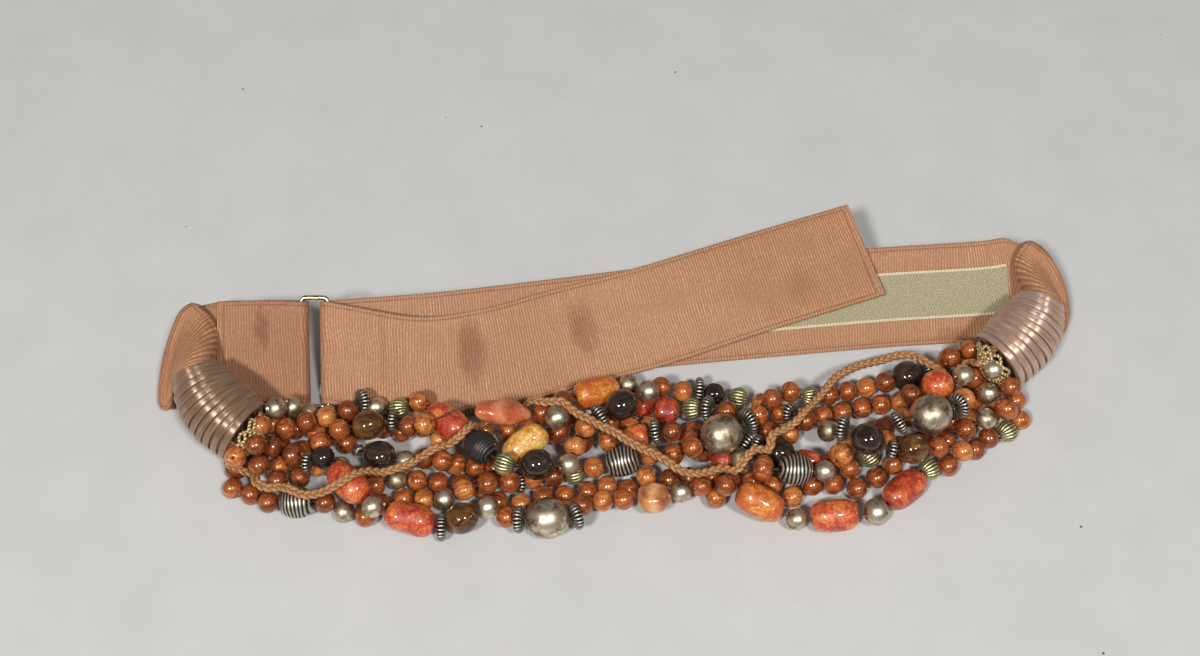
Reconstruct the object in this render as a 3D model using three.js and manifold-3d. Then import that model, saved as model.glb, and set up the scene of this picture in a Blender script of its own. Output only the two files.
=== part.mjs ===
// Beaded belt: two ribbed fabric straps join at a rectangular slide ring, and seven strings of
// mixed beads and a braided leather cord hang between two cord-wrapped ends.
// Millimetres and degrees. The belt lies on the plane z = 0: x to the right, y away from the front.
import * as THREE from "three";
import { mergeVertices } from "three/addons/utils/BufferGeometryUtils.js";
import Module from "manifold-3d";

const wasm = await Module();
wasm.setup();

// Driving dimensions
const span = 350; // overall width of the belt as it lies
const strapWidth = 39;
const strapThickness = 1.8;
const tapeWidth = 19;
const tapeThickness = 0.8;
const clearance = 0.3; // gap kept between touching pieces
const wireDiameter = 1.8;
const ringBarSpacing = 10; // between the two long bars of the slide ring
const gatherWidth = 30; // of a strap inside its wrap, where small pleats take up the rest
const rollAngle = 168; // half the arc of the gathered strap end, in degrees
const rollPast = 1.5; // how far the rolled strap reaches past its wrap before it opens out
const foldWidth = 41; // of a strap along its fold, which runs aslant
const foldRadius = 2.6; // of the turn where a strap goes back behind its wrap
const flareReach = 18; // how far a strap keeps its direction where it opens out
const wrapLength = 30;
const wrapBend = 34; // how far a wrap's axis turns between its ends, in degrees
const wrapTurns = 11;
const wrapMouthRadius = 12.3;
const wrapMiddleRadius = 13.5;
const wrapFabricRadius = 8.7;
const wrapGroove = 0.7;
const mouthBoreRadius = 10.3;
const mouthBoreDepth = 9;
const threadRadius = 0.6;
const boreRadius = 0.98;
const leatherRadius = 1.75;
const mouthFan = 8.1; // radius of the circle on which the strands enter a mouth
const seatStart = -18; // angle of the first strand's place on that circle
const threadDepth = 6; // how far the strands reach into a mouth
const knotLength = 15; // the bundle of fine cords at each mouth
const knotHeight = 6;
const sectionSteps = 6; // across a strap
const flareSteps = 3; // sections where the gathered strap opens out
const turnSteps = 5; // in a strap's half turn
const wrapSides = 12;
const tubeSides = 6;
const beadSides = 10;
const wireSides = 6;

const rad = THREE.MathUtils.degToRad;
const vec = (x, y, z) => new THREE.Vector3(x, y, z);
const up = vec(0, 0, 1);

// Each wrap: its middle (shares of span, and of strapWidth for the height), the compass heading
// from the bead mouth to the fabric end, and the pitch of that axis.
const WRAPS = {
  left: { along: -0.403, back: 0.0984, rise: 0.414, heading: 132.3, pitch: 15, side: 1 },
  right: { along: 0.4604, back: 0.1879, rise: 0.413, heading: 50.3, pitch: 16, side: -1 },
};

// The slide ring's centre and the lean of its plane, which both straps share there.
const RING = { along: -0.3077, back: 0.1681, rise: 0.369, lean: 50, sweep: 0 };

// The middle of each strap's fold beside its wrap, and the direction of the fold's line.
const FOLDS = {
  left: { along: -0.4446, back: 0.1618, rise: 0.381, lean: 58, sweep: 23 },
  right: { along: 0.4965, back: 0.2474, rise: 0.381, lean: 55, sweep: -29 },
};

// Strap sections. along and back are shares of span, rise is a share of strapWidth, all to the
// middle of the section. lean and sweep turn its width from upright.
const LEFT_RUN = [
  { along: -0.412, back: 0.1706, rise: 0.341, lean: 51, sweep: 14 },
  { along: -0.3786, back: 0.171, rise: 0.341, lean: 50, sweep: 5 },
  { along: -0.3571, back: 0.171, rise: 0.349, lean: 50, sweep: 0 },
];
const LEFT_RETURN = [
  { along: -0.346, back: 0.1663, rise: 0.403, lean: 50, sweep: 0 },
  { along: -0.3857, back: 0.1665, rise: 0.39, lean: 50, sweep: 0 },
  { along: -0.405, back: 0.1658, rise: 0.39, lean: 50, sweep: 2 },
];
const LONG_RUN = [
  { along: 0.4629, back: 0.2577, rise: 0.341, lean: 51, sweep: -17 },
  { along: 0.4343, back: 0.2537, rise: 0.323, lean: 53.5, sweep: -7 },
  { along: 0.3143, back: 0.2451, rise: 0.309, lean: 55.5, sweep: -6 },
  { along: 0.1886, back: 0.2326, rise: 0.305, lean: 56, sweep: -8 },
  { along: 0.0571, back: 0.2171, rise: 0.318, lean: 54, sweep: -9 },
  { along: -0.0429, back: 0.2009, rise: 0.331, lean: 52, sweep: -8 },
  { along: -0.1714, back: 0.182, rise: 0.341, lean: 50, sweep: -5 },
  { along: -0.2571, back: 0.1735, rise: 0.346, lean: 50, sweep: -1 },
];
const TAIL = [
  { along: -0.2629, back: 0.1597, rise: 0.385, lean: 50, sweep: -1 },
  { along: -0.194, back: 0.149, rise: 0.351, lean: 50, sweep: 2 },
  { along: -0.12, back: 0.16, rise: 0.351, lean: 50, sweep: -9 },
  { along: -0.0437, back: 0.1843, rise: 0.359, lean: 53, sweep: -15 },
  { along: 0.0529, back: 0.2095, rise: 0.425, lean: 58, sweep: -18 },
  { along: 0.1743, back: 0.2474, rise: 0.544, lean: 70, sweep: -17 },
  { along: 0.2954, back: 0.2846, rise: 0.641, lean: 72, sweep: -20 },
];

// Bead kinds: radius, length along the thread, and for the main ones a colour, roughness and
// metalness. shape is the outline's list of [share of half length, share of radius].
const ROUND = [[0.94, 0.36], [0.38, 0.93], [-0.38, 0.93], [-0.94, 0.36]];
const BARREL = [[1, 0.66], [0.62, 0.96], [-0.62, 0.96], [-1, 0.66]];
const KINDS = {
  W: { radius: 4, length: 7.2 },
  S: { radius: 4, length: 7.4 },
  O: { radius: 4.2, length: 7.6 },
  R: { radius: 5, length: 3.4, flat: true },
  r: { radius: 4, length: 3, flat: true },
  d: { radius: 4.2, length: 8 },
  L: { radius: 4.6, length: 9 },
  M: { radius: 5, length: 9.4 },
  B: { name: "silver_ball", radius: 8, length: 15.4, shape: ROUND, color: 0xa9a497, metal: 0.9 },
  D: { name: "smoky_bead", radius: 6.2, length: 12, shape: ROUND, color: 0x3a2c26 },
  A: { name: "amber_bead", radius: 6, length: 11.6, shape: ROUND, color: 0x6b4526 },
  Q: { name: "marbled_bead", radius: 6.1, length: 12, shape: ROUND, color: 0xcc6a2a },
  Z: { name: "banded_bead", radius: 6.2, length: 12.4, shape: ROUND, color: 0x39352f },
  G: { name: "grooved_bead", radius: 6.4, length: 12, shape: ROUND, color: 0x2b2825 },
  K: { name: "red_barrel", radius: 5.9, length: 17.6, shape: BARREL, color: 0xc8502a, spread: 5 },
  Y: { name: "yellow_barrel", radius: 5.9, length: 18.2, shape: BARREL, color: 0xd8962f, spread: 5 },
  C: { name: "carnelian_chunk", radius: 5.4, length: 22, chunk: true, color: 0xb8603a, spread: 6 },
  T: { name: "agate_chunk", radius: 6.3, length: 12.6, chunk: true, color: 0xb87a4a },
  c: { radius: leatherRadius, length: 5 },
};

// Strand routes, chosen by hand: [x, y, height of the strand's middle, main bead there, beads that
// fill the way to the next row].
const ROUTES = [
  { name: "bead_string_front", rows: [
    [-132, 19, 6, "", "WWLr"], [-104, 14, 6, "", "dOr"], [-89, 5, 9, "K", "S"],
    [-68, -5, 6, "K", "R"], [-50, -3, 6.2, "A", "SWR"], [-19, -6, 8, "B", "RWWWW"],
    [17, 5, 6.3, "T", "SWWWW"], [61, 2, 7, "Y", "S"], [84, -5, 6, "K", "M"],
    [107, 9, 8, "K", "OWW"], [134, 25, 5, "", "WWO"], [154, 35, 4.2, "", "WW"]] },
  { name: "bead_string_low", plain: true, rows: [
    [-136, 12, 4.2, "", "WWW"], [-109, 0, 6.4, "Z", "WSWWWW"], [-60, 2, 5, "", "SWWWrW"],
    [-20, 8, 5, "", "OWWr"], [9, 12, 7, "Z", "WOWWR"], [46, 28, 9, "B", "RWWWOWWW"],
    [98, 47, 5, "", "WWR"], [119, 50, 8, "D", "RWWW"], [146, 63, 5, "", "S"]] },
  { name: "bead_string_upper", plain: true, rows: [
    [-127, 27, 9, "", "WWWWWRSOWR"], [-80, 36, 6, "", "OWR"], [-59, 30, 10, "K", ""],
    [-43, 20, 8, "G", "OW"], [-24, 11, 8, "D", "SWWR"], [7, 38, 8, "D", "SWWRd"],
    [39, 46, 6, "", "dOWW"], [69, 36, 5, "", "rWW"], [80, 28, 7, "", "SR"],
    [97, 15, 8, "D", "r"], [112, 21, 6, "A", "WWWSW"], [147, 38, 5, "", "LW"]] },
  { name: "bead_string_middle", plain: true, rows: [
    [-125, 34, 8, "", "SSWWd"], [-95, 28, 5, "", "r"], [-82, 15, 8, "D", "SWWWO"],
    [-39, 15, 5, "", ""], [-25, 22, 12, "Y", "W"], [-5, 44, 7, "Y", "SLL"],
    [30, 36, 5, "", "ORW"], [54, 26, 5, "", "R"], [66, 17, 8, "D", "WWWR"],
    [94, 18, 6, "", "OWW"], [120, 32, 9, "B", "RLWW"], [148, 47, 6, "", "S"]] },
  { name: "bead_string_over", plain: true, rows: [
    [-123, 23, 6, "", "WSWW"], [-84, 27, 10, "A", "rWWS"], [-37, 27, 15, "C", "WMW"],
    [-6, 28, 7, "", "WLLR"], [30, 27, 7, "", "WW"], [53, 12, 6, "", "M"],
    [70, 8, 8, "Z", "SLWW"], [105, 25, 6, "", "OW"], [130, 41, 11, "Q", "SWW"],
    [150, 57, 8, "", "W"]] },
  { name: "bead_string_under_front", plain: true, rows: [
    [-124, 18, 5, "", "W"], [-99, 14, 4, "", "W"], [-62, 9, 4, "", "W"], [-25, 3, 4, "", "W"],
    [7, 8, 4, "", "W"], [37, 10, 4, "", "W"], [73, 8, 4, "", "W"], [103, 16, 4, "", "W"],
    [135, 34, 4, "", "W"], [150, 45, 4, "", "W"]] },
  { name: "bead_string_under_back", plain: true, rows: [
    [-119, 36, 4, "", "W"], [-100, 34, 4, "", "W"], [-64, 32, 4, "", "W"], [-22, 30, 4, "", "W"],
    [7, 32, 4, "", "W"], [45, 30, 4, "", "W"], [79, 38, 4, "", "W"], [110, 44, 4, "", "W"],
    [134, 53, 4, "", "W"], [148, 60, 5, "", "W"]] },
  { name: "leather_cord", cord: true, rows: [
    [-128, 15, 8, "", "c"], [-121, 7, 8, "", "c"], [-113, 2, 11, "", "c"], [-102, -2, 15, "", "c"],
    [-90, 3, 15, "", "c"], [-70, 11, 14, "", "c"], [-57, 18, 16, "", "c"], [-46, 27, 16, "", "c"],
    [-22, 33, 13, "", "c"], [-7, 29, 14, "", "c"], [3, 24, 17, "", "c"], [12, 17, 18, "", "c"],
    [22, 12, 17, "", "c"], [31, 7, 15, "", "c"], [42, 9, 13, "", "c"], [51, 11, 12, "", "c"],
    [59, 16, 15, "", "c"], [65, 22, 17, "", "c"], [73, 29, 17, "", "c"], [82, 40, 14, "", "c"],
    [90, 50, 12, "", "c"], [103, 57, 10, "", "c"], [116, 58, 9, "", "c"], [132, 52, 9, "", "c"],
    [146, 52, 9, "", "c"]] },
];

// How the strands settle against each other, the straps and the plane
const settleRounds = 420;
const pull = 0.03; // share of the way back to its chosen place, each round
const press = 0.5; // share of an overlap undone, each round
const strandGap = 0.4; // between beads of different strands
const beadGap = 0.35; // between neighbours on one thread
const longGap = 0.9; // extra beside a long bead
const slack = 1.1; // most extra room between neighbours
const finePoints = 24; // of a route's curve, between two rows

// Triangles that close one end of a loft: a fan, or a strip across a thin section.
function capTriangles(start, count, ends) {
  const triangles = [];
  if (ends === "strip")
    for (let k = 0; k < count / 2 - 1; k++) {
      const [a, b, c, d] = [k, k + 1, count - 1 - k, count - 2 - k].map((j) => start + j);
      triangles.push([a, b, d], [a, d, c]);
    }
  else for (let k = 1; k < count - 1; k++) triangles.push([start, start + k, start + k + 1]);
  return triangles;
}

function signedVolume(points, index) {
  let sum = 0;
  for (let i = 0; i < index.length; i += 3) {
    const [a, b, c] = [0, 1, 2].map((j) => vec(...points.slice(3 * index[i + j], 3 * index[i + j] + 3)));
    sum += a.dot(b.cross(c));
  }
  return sum;
}

// A closed body through rings of points. ends is fan, strip, or loop where the last ring meets
// the first.
function loft(rings, ends) {
  const count = rings[0].length;
  const triangles = [];
  const spans = ends === "loop" ? rings.length : rings.length - 1;
  for (let i = 0; i < spans; i++)
    for (let k = 0; k < count; k++) {
      const [here, there] = [i * count, ((i + 1) % rings.length) * count];
      const side = (k + 1) % count;
      triangles.push([here + k, here + side, there + side], [here + k, there + side, there + k]);
    }
  if (ends !== "loop") {
    for (const [a, b, c] of capTriangles(0, count, ends)) triangles.push([a, c, b]);
    triangles.push(...capTriangles((rings.length - 1) * count, count, ends));
  }
  const points = rings.flat().flatMap((p) => [p.x, p.y, p.z]);
  const outwards = signedVolume(points, triangles.flat()) > 0;
  const index = triangles.flatMap(([a, b, c]) => (outwards ? [a, b, c] : [a, c, b]));
  const geometry = new THREE.BufferGeometry();
  geometry.setAttribute("position", new THREE.Float32BufferAttribute(points, 3));
  geometry.setIndex(index);
  return geometry;
}

// Straps and tape

// The unit width direction of a section, from its lower edge to its upper edge.
function widthDirection(lean, sweep) {
  const [l, s] = [rad(lean), rad(sweep)];
  return vec(Math.sin(l) * Math.sin(s), Math.sin(l) * Math.cos(s), Math.cos(l));
}

function placed({ along, back, rise }) {
  return vec(along * span, back * span, rise * strapWidth);
}

// The part of a direction that is square to an axis, as a unit vector.
function squareTo(axis, direction) {
  return direction.clone().addScaledVector(axis, -direction.dot(axis)).normalize();
}

// A section's points across the strap, from its lower edge to its upper edge: a straight line, or
// an arc of that length with its crown at the section's place.
function lineAcross({ at, width, face, arc = 0 }, length) {
  return Array.from({ length: sectionSteps + 1 }, (_, k) => {
    const share = k / sectionSteps - 0.5;
    if (!arc) return at.clone().addScaledVector(width, length * share);
    const radius = length / (2 * arc);
    return at.clone()
      .addScaledVector(width, radius * Math.sin(2 * arc * share))
      .addScaledVector(face, radius * (Math.cos(2 * arc * share) - 1));
  });
}

function stationsOf(rows) {
  return rows.map((row) => ({ at: placed(row), width: widthDirection(row.lean, row.sweep) }));
}

// A strip of cloth through rows of points on its middle surface, shifted by offset across its
// face. The face is the side from which the rows run to the right and the points run up.
function cloth(rows, thickness, offset = 0) {
  const rings = rows.map((row, i) => {
    const sides = [1, -1].map((side) =>
      row.map((point, k) => {
        const across = row[Math.min(k + 1, row.length - 1)].clone().sub(row[Math.max(k - 1, 0)]);
        const from = rows[Math.max(i - 1, 0)][k];
        const onwards = rows[Math.min(i + 1, rows.length - 1)][k].clone().sub(from);
        const face = onwards.cross(across).normalize();
        return point.clone().addScaledVector(face, offset + (side * thickness) / 2);
      }),
    );
    return [...sides[0], ...sides[1].reverse()];
  });
  return loft(rings, "strip");
}

// Each wrap's own frame: its middle, its axis there from mouth to fabric end, the outward side on
// which the gathered strap bows, and the strap's width direction there.
function wrapFrame({ heading, pitch, side, ...middle }) {
  const [h, p] = [rad(heading), rad(pitch)];
  const axis = vec(Math.cos(p) * Math.cos(h), Math.cos(p) * Math.sin(h), Math.sin(p));
  const frame = { centre: placed(middle), axis, side, turn: up.clone().cross(axis).multiplyScalar(-side) };
  frame.mouth = alongWrap(frame, 0);
  frame.fabric = alongWrap(frame, wrapLength);
  return frame;
}

// The place and direction at a distance from the mouth along a wrap's bent axis.
function alongWrap({ centre, axis, turn }, distance) {
  const bend = rad(wrapBend);
  const bendRadius = wrapLength / bend;
  const angle = (distance / wrapLength - 0.5) * bend;
  return {
    at: centre.clone()
      .addScaledVector(axis, bendRadius * Math.sin(angle))
      .addScaledVector(turn, bendRadius * (1 - Math.cos(angle))),
    axis: axis.clone().multiplyScalar(Math.cos(angle)).addScaledVector(turn, Math.sin(angle)),
  };
}

const FRAMES = { left: wrapFrame(WRAPS.left), right: wrapFrame(WRAPS.right) };

const ringWidth = widthDirection(RING.lean, RING.sweep);
const ringAlong = vec(1, 0, 0);
const ringFace = ringAlong.clone().cross(ringWidth).normalize();
const turnRadius = wireDiameter / 2 + clearance + strapThickness / 2;

// A strap's half turn round a line along its width, starting on one side of it.
function halfTurn({ centre, width, from, outward, radius }) {
  return Array.from({ length: turnSteps + 1 }, (_, k) => {
    const angle = (Math.PI * k) / turnSteps;
    return {
      at: centre.clone()
        .addScaledVector(from, radius * Math.cos(angle))
        .addScaledVector(outward, radius * Math.sin(angle)),
      width,
    };
  });
}

// A strap's turn round a bar of the ring, from behind it to in front of it.
function turnRound(direction) {
  return halfTurn({
    centre: placed(RING).addScaledVector(ringAlong, (-direction * ringBarSpacing) / 2),
    width: ringWidth,
    from: ringFace.clone().negate(),
    outward: ringAlong.clone().multiplyScalar(direction),
    radius: turnRadius,
  });
}

// A strap's fold beside its wrap, from the front layer to the back one.
function foldBack({ lean, sweep, ...middle }, side) {
  const width = widthDirection(lean, sweep);
  const outward = width.clone().cross(ringFace).normalize().multiplyScalar(-side);
  const from = squareTo(width, ringFace);
  return halfTurn({ centre: placed(middle), width, from, outward, radius: foldRadius });
}

const BENDS = {
  left: foldBack(FOLDS.left, FRAMES.left.side),
  right: foldBack(FOLDS.right, FRAMES.right.side),
};
const LEFT_STATIONS = [...stationsOf(LEFT_RUN), ...turnRound(1), ...stationsOf(LEFT_RETURN)];
const LONG_STATIONS = [...stationsOf(LONG_RUN), ...turnRound(-1), ...stationsOf(TAIL)];

// The rolled end of a strap inside its wrap, from near the mouth to the fabric end, open behind.
const rollRadius = gatherWidth / (2 * rad(rollAngle));
function gathered(frame) {
  const inner = mouthBoreDepth + clearance;
  const distances = [inner, (mouthBoreDepth + wrapLength) / 2, wrapLength, wrapLength + rollPast];
  return distances.map((distance) => {
    const { at, axis } = alongWrap(frame, distance);
    const face = squareTo(axis, ringFace);
    const width = axis.clone().cross(face).multiplyScalar(frame.side);
    return { at: at.addScaledVector(face, rollRadius), width, face, arc: rad(rollAngle), axis };
  });
}

// Sections from the fabric end of a wrap to the fold, where the gathered strap opens out.
function flare(from, bend) {
  const to = bend[0];
  const face = squareTo(to.width, ringFace);
  const arriving = bend[1].at.clone().sub(to.at).normalize();
  return Array.from({ length: flareSteps }, (_, i) => {
    const s = (i + 1) / (flareSteps + 1);
    const width = from.width.clone().lerp(to.width, 1 - (1 - s) ** 2).normalize();
    return {
      at: from.at.clone().lerp(to.at, s * s * (3 - 2 * s))
        .addScaledVector(from.axis, flareReach * s * (1 - s) * (1 - s))
        .addScaledVector(arriving, -flareReach * s * s * (1 - s)),
      width,
      face: squareTo(width, from.face.clone().lerp(face, s)),
      arc: rad(rollAngle) * (1 - s) ** 1.5,
      length: THREE.MathUtils.lerp(gatherWidth, foldWidth, s),
    };
  });
}

// A whole strap: gathered end, flare, and the flat sections.
function strap(frame, stations, bend) {
  const roll = gathered(frame);
  return cloth([
    ...roll.map((section) => lineAcross(section, gatherWidth)),
    ...flare(roll.at(-1), bend).map((section) => lineAcross(section, section.length)),
    ...bend.map((section) => lineAcross(section, foldWidth)),
    ...stations.map((section) => lineAcross(section, strapWidth)),
  ], strapThickness);
}

// Slide ring

function slideRing() {
  const corner = wireDiameter;
  const [halfX, halfY] = [ringBarSpacing / 2, strapWidth / 2 + clearance + wireDiameter / 2];
  const path = new THREE.Shape();
  path.moveTo(-halfX + corner, -halfY);
  path.lineTo(halfX - corner, -halfY);
  path.absarc(halfX - corner, -halfY + corner, corner, -Math.PI / 2, 0);
  path.lineTo(halfX, halfY - corner);
  path.absarc(halfX - corner, halfY - corner, corner, 0, Math.PI / 2);
  path.lineTo(-halfX + corner, halfY);
  path.absarc(-halfX + corner, halfY - corner, corner, Math.PI / 2, Math.PI);
  path.lineTo(-halfX, -halfY + corner);
  path.absarc(-halfX + corner, -halfY + corner, corner, Math.PI, 1.5 * Math.PI);
  const line = path.getPoints(2).filter((p, i, all) => p.distanceTo(all[(i + 1) % all.length]) > 1e-6);
  const rings = line.map((p, i) => {
    const before = line[(i + line.length - 1) % line.length];
    const ahead = line[(i + 1) % line.length];
    const along = ahead.clone().sub(before).normalize();
    return Array.from({ length: wireSides }, (_, k) => {
      const angle = (2 * Math.PI * (k + 0.5)) / wireSides;
      const out = (Math.cos(angle) * wireDiameter) / 2;
      return placed(RING)
        .addScaledVector(ringAlong, p.x + along.y * out)
        .addScaledVector(ringWidth, p.y - along.x * out)
        .addScaledVector(ringFace, (Math.sin(angle) * wireDiameter) / 2);
    });
  });
  return loft(rings, "loop");
}

// Wraps

// The wrap's outer radius at a share of its length from the mouth: a barrel.
function wrapRadius(share) {
  const middle = 0.42;
  const fall = share < middle ? (middle - share) / middle : (share - middle) / (1 - middle);
  const end = share < middle ? wrapMouthRadius : wrapFabricRadius;
  return wrapMiddleRadius - (wrapMiddleRadius - end) * fall * fall;
}

// The direction of a lathe's or a strand's own axis turned onto a direction.
function turnedTo(direction) {
  return new THREE.Quaternion().setFromUnitVectors(vec(0, 1, 0), direction);
}

function cordWrap(frame) {
  const pitch = wrapLength / wrapTurns;
  const boreAround = rollRadius + strapThickness / 2 + clearance;
  const profile = [];
  for (let i = 0; i <= wrapTurns; i++) {
    profile.push([i * pitch, wrapRadius(i / wrapTurns) - wrapGroove]);
    if (i < wrapTurns) profile.push([(i + 0.5) * pitch, wrapRadius((i + 0.5) / wrapTurns)]);
  }
  profile.push([wrapLength, boreAround], [(mouthBoreDepth + wrapLength) / 2, boreAround]);
  profile.push([mouthBoreDepth + clearance, boreAround], [mouthBoreDepth, mouthBoreRadius]);
  profile.push([0, mouthBoreRadius]);
  const rings = profile.map(([distance, radius]) => {
    const { at, axis } = alongWrap(frame, distance);
    return circle(at, axis, radius / Math.cos(Math.PI / wrapSides), wrapSides, up);
  });
  return loft(rings, "loop");
}

// Strands

// A mouth's own directions, upwards and sideways, square to its axis.
function mouthAxes({ axis }) {
  const level = squareTo(axis, up);
  return { level, sideways: axis.clone().cross(level) };
}

// The seats that the strands take in a mouth, in the order in which they fan out sideways.
function seatsOf({ mouth }, ends) {
  const { sideways } = mouthAxes(mouth);
  const aside = ends.map(([x, y, z]) => vec(x, y, z).dot(sideways));
  return aside.map((own) => aside.filter((other) => other > own).length);
}

// A point of a strand's seat, on the fan circle above the knot, some way out of the mouth.
function seatPoint({ mouth }, seat, out) {
  const { level, sideways } = mouthAxes(mouth);
  const angle = rad(seatStart + (seat / (ROUTES.length - 1)) * (180 - 2 * seatStart));
  return mouth.at.clone()
    .addScaledVector(mouth.axis, -out)
    .addScaledVector(sideways, mouthFan * Math.cos(angle))
    .addScaledVector(level, mouthFan * Math.sin(angle));
}

// The place at a distance along a line of points.
function placeAlong(line, distance) {
  let left = distance;
  for (let k = 1; k < line.length; k++) {
    const step = line[k].distanceTo(line[k - 1]);
    if (left <= step || k === line.length - 1) return line[k - 1].clone().lerp(line[k], Math.min(left / step, 1));
    left -= step;
  }
  return line[0].clone();
}

// The beads of a strand in order: a main bead at its row, and between two rows as many beads of the
// filling pattern as there is room for.
function strung({ rows }, index) {
  const points = [
    seatPoint(FRAMES.left, SEATS.left[index], 0),
    ...rows.map(([x, y, z]) => vec(x, y, z)),
    seatPoint(FRAMES.right, SEATS.right[index], 0),
  ];
  const curve = new THREE.CatmullRomCurve3(points, false, "centripetal");
  const line = curve.getPoints(finePoints * (points.length - 1));
  const beads = [];
  const add = (kind, at) => beads.push({ ...KINDS[kind], at, home: at.clone() });
  for (let i = 0; i < points.length - 1; i++) {
    const [main, next] = [rows[i - 1]?.[3], rows[i]?.[3]];
    const pattern = (rows[i - 1] ?? rows[0])[4] || "W";
    if (main) add(main, points[i].clone());
    const piece = line.slice(i * finePoints, (i + 1) * finePoints + 1);
    const length = piece.slice(1).reduce((sum, p, k) => sum + p.distanceTo(piece[k]), 0);
    const [start, end] = [main, next].map((kind) => (kind ? KINDS[kind].length / 2 : 0));
    const room = length - start - end;
    const offsets = [];
    let used = 0;
    for (let k = 0; ; k++) {
      const kind = pattern[k % pattern.length];
      const step = KINDS[kind].length + beadGap;
      if (used + step * 0.6 > room) break;
      offsets.push([kind, used + step / 2]);
      used += step;
    }
    for (const [kind, offset] of offsets)
      add(kind, placeAlong(piece, start + (offset * room) / used));
  }
  return beads;
}

// A strand's direction at a bead, from its neighbours.
function beadAxis(beads, i) {
  const [from, to] = [beads[Math.max(i - 1, 0)], beads[Math.min(i + 1, beads.length - 1)]];
  return to.at.clone().sub(from.at).normalize();
}

// The spheres that stand for a strand as it settles: one for a bead, three along a long one, and
// one between two neighbours. Each moves the beads it belongs to.
function ballsOf(strand, s) {
  return strand.flatMap((bead, i) => {
    const axis = beadAxis(strand, i);
    const spread = bead.spread ?? 0;
    const balls = (spread ? [-spread, 0, spread] : [0]).map((d) => ({
      at: bead.at.clone().addScaledVector(axis, d), radius: bead.radius, owners: [bead], s, i,
    }));
    const next = strand[i + 1];
    if (next && !bead.spread && !next.spread) {
      const radius = Math.min(bead.radius, next.radius) * 0.8;
      balls.push({ at: bead.at.clone().lerp(next.at, 0.5), radius, owners: [bead, next], s, i });
    }
    return balls;
  });
}

// The strap faces that the strands lie against, each a parallelogram.
const WALLS = [LEFT_STATIONS, LONG_STATIONS].flatMap((stations) =>
  stations.slice(1).flatMap(({ at }, i) => {
    const before = stations[i];
    if (before.at.distanceTo(at) < 4) return [];
    const corner = before.at.clone().addScaledVector(before.width, -strapWidth / 2);
    return [{ corner, along: at.clone().sub(before.at), width: before.width }];
  }),
);

// The nearest point of a strap face to a point.
function nearestOnWall({ corner, along, width }, point) {
  const offset = point.clone().sub(corner);
  const a = THREE.MathUtils.clamp(offset.dot(along) / along.lengthSq(), 0, 1);
  const w = THREE.MathUtils.clamp(offset.dot(width), 0, strapWidth);
  return corner.clone().addScaledVector(along, a).addScaledVector(width, w);
}

// Moves the beads until those of different strands, the straps, the wraps and the plane hardly
// overlap, and neighbours on one thread keep their distance.
function settle(strands) {
  const beads = strands.flat();
  beads.forEach((bead, i) => (bead.index = i));
  for (let round = 0; round < settleRounds; round++) {
    const moves = beads.map(() => vec(0, 0, 0));
    const hold = Math.max(0, 1 - round / (0.7 * settleRounds));
    const push = (owners, direction, amount) => {
      for (const bead of owners) moves[bead.index].addScaledVector(direction, amount / owners.length);
    };
    // Pushes a sphere away from the nearest point of something solid.
    const clear = (ball, nearest, reach) => {
      const line = ball.at.clone().sub(nearest);
      const distance = line.length();
      const near = ball.radius + reach + strandGap;
      if (distance < near) push(ball.owners, line.divideScalar(distance || 1), (near - distance) * press);
    };
    for (const strand of strands)
      strand.slice(1).forEach((bead, i) => {
        const before = strand[i];
        const line = bead.at.clone().sub(before.at);
        const distance = line.length();
        const beside = bead.spread || before.spread ? longGap : bead.name || before.name ? beadGap : 0;
        const least = (bead.length + before.length) / 2 + beadGap + beside;
        const wrong = distance < least ? distance - least : Math.max(distance - least - slack, 0);
        line.divideScalar(distance);
        push([before], line, (wrong * press) / 2);
        push([bead], line, (-wrong * press) / 2);
        const after = strand[i + 2];
        if (!bead.name || !after) return;
        const bend = before.at.clone().lerp(after.at, 0.5).sub(bead.at);
        const sideways = bend.addScaledVector(beadAxis(strand, i + 1), -bend.dot(beadAxis(strand, i + 1)));
        push([bead], sideways, 0.3);
        push([before], sideways, -0.15);
        push([after], sideways, -0.15);
      });
    const balls = strands.flatMap(ballsOf).sort((a, b) => a.at.x - b.at.x);
    balls.forEach((a, j) => {
      for (let k = j + 1; k < balls.length; k++) {
        const b = balls[k];
        if (b.at.x - a.at.x > 17) break;
        const near = a.radius + b.radius + strandGap;
        if (b.at.x - a.at.x > near || (a.s === b.s && Math.abs(a.i - b.i) < 3)) continue;
        const line = b.at.clone().sub(a.at);
        const distance = line.length();
        if (distance >= near) continue;
        line.divideScalar(distance || 1);
        push(a.owners, line, ((distance - near) * press) / 2);
        push(b.owners, line, ((near - distance) * press) / 2);
      }
      for (const wall of WALLS)
        if (Math.abs(a.at.x - wall.corner.x) < 60) clear(a, nearestOnWall(wall, a.at), strapThickness / 2);
      for (const { centre, sideways } of Object.values(KNOTS)) {
        const half = (knotLength - knotHeight) / 2;
        const share = THREE.MathUtils.clamp(a.at.clone().sub(centre).dot(sideways), -half, half);
        clear(a, centre.clone().addScaledVector(sideways, share), knotHeight / 2);
      }
      for (const { mouth, centre } of Object.values(FRAMES)) {
        const inside = a.at.clone().sub(mouth.at).dot(mouth.axis) + a.radius + strandGap;
        if (inside > 0 && a.at.distanceTo(centre) < wrapMiddleRadius + a.radius + wrapLength / 2)
          push(a.owners, mouth.axis, -Math.min(inside, 1.5) * press);
      }
    });
    beads.forEach((bead, i) => {
      bead.at.add(moves[i]).addScaledVector(bead.home.clone().sub(bead.at), pull * hold);
      bead.at.z = Math.max(bead.at.z, bead.radius);
    });
  }
}

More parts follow.
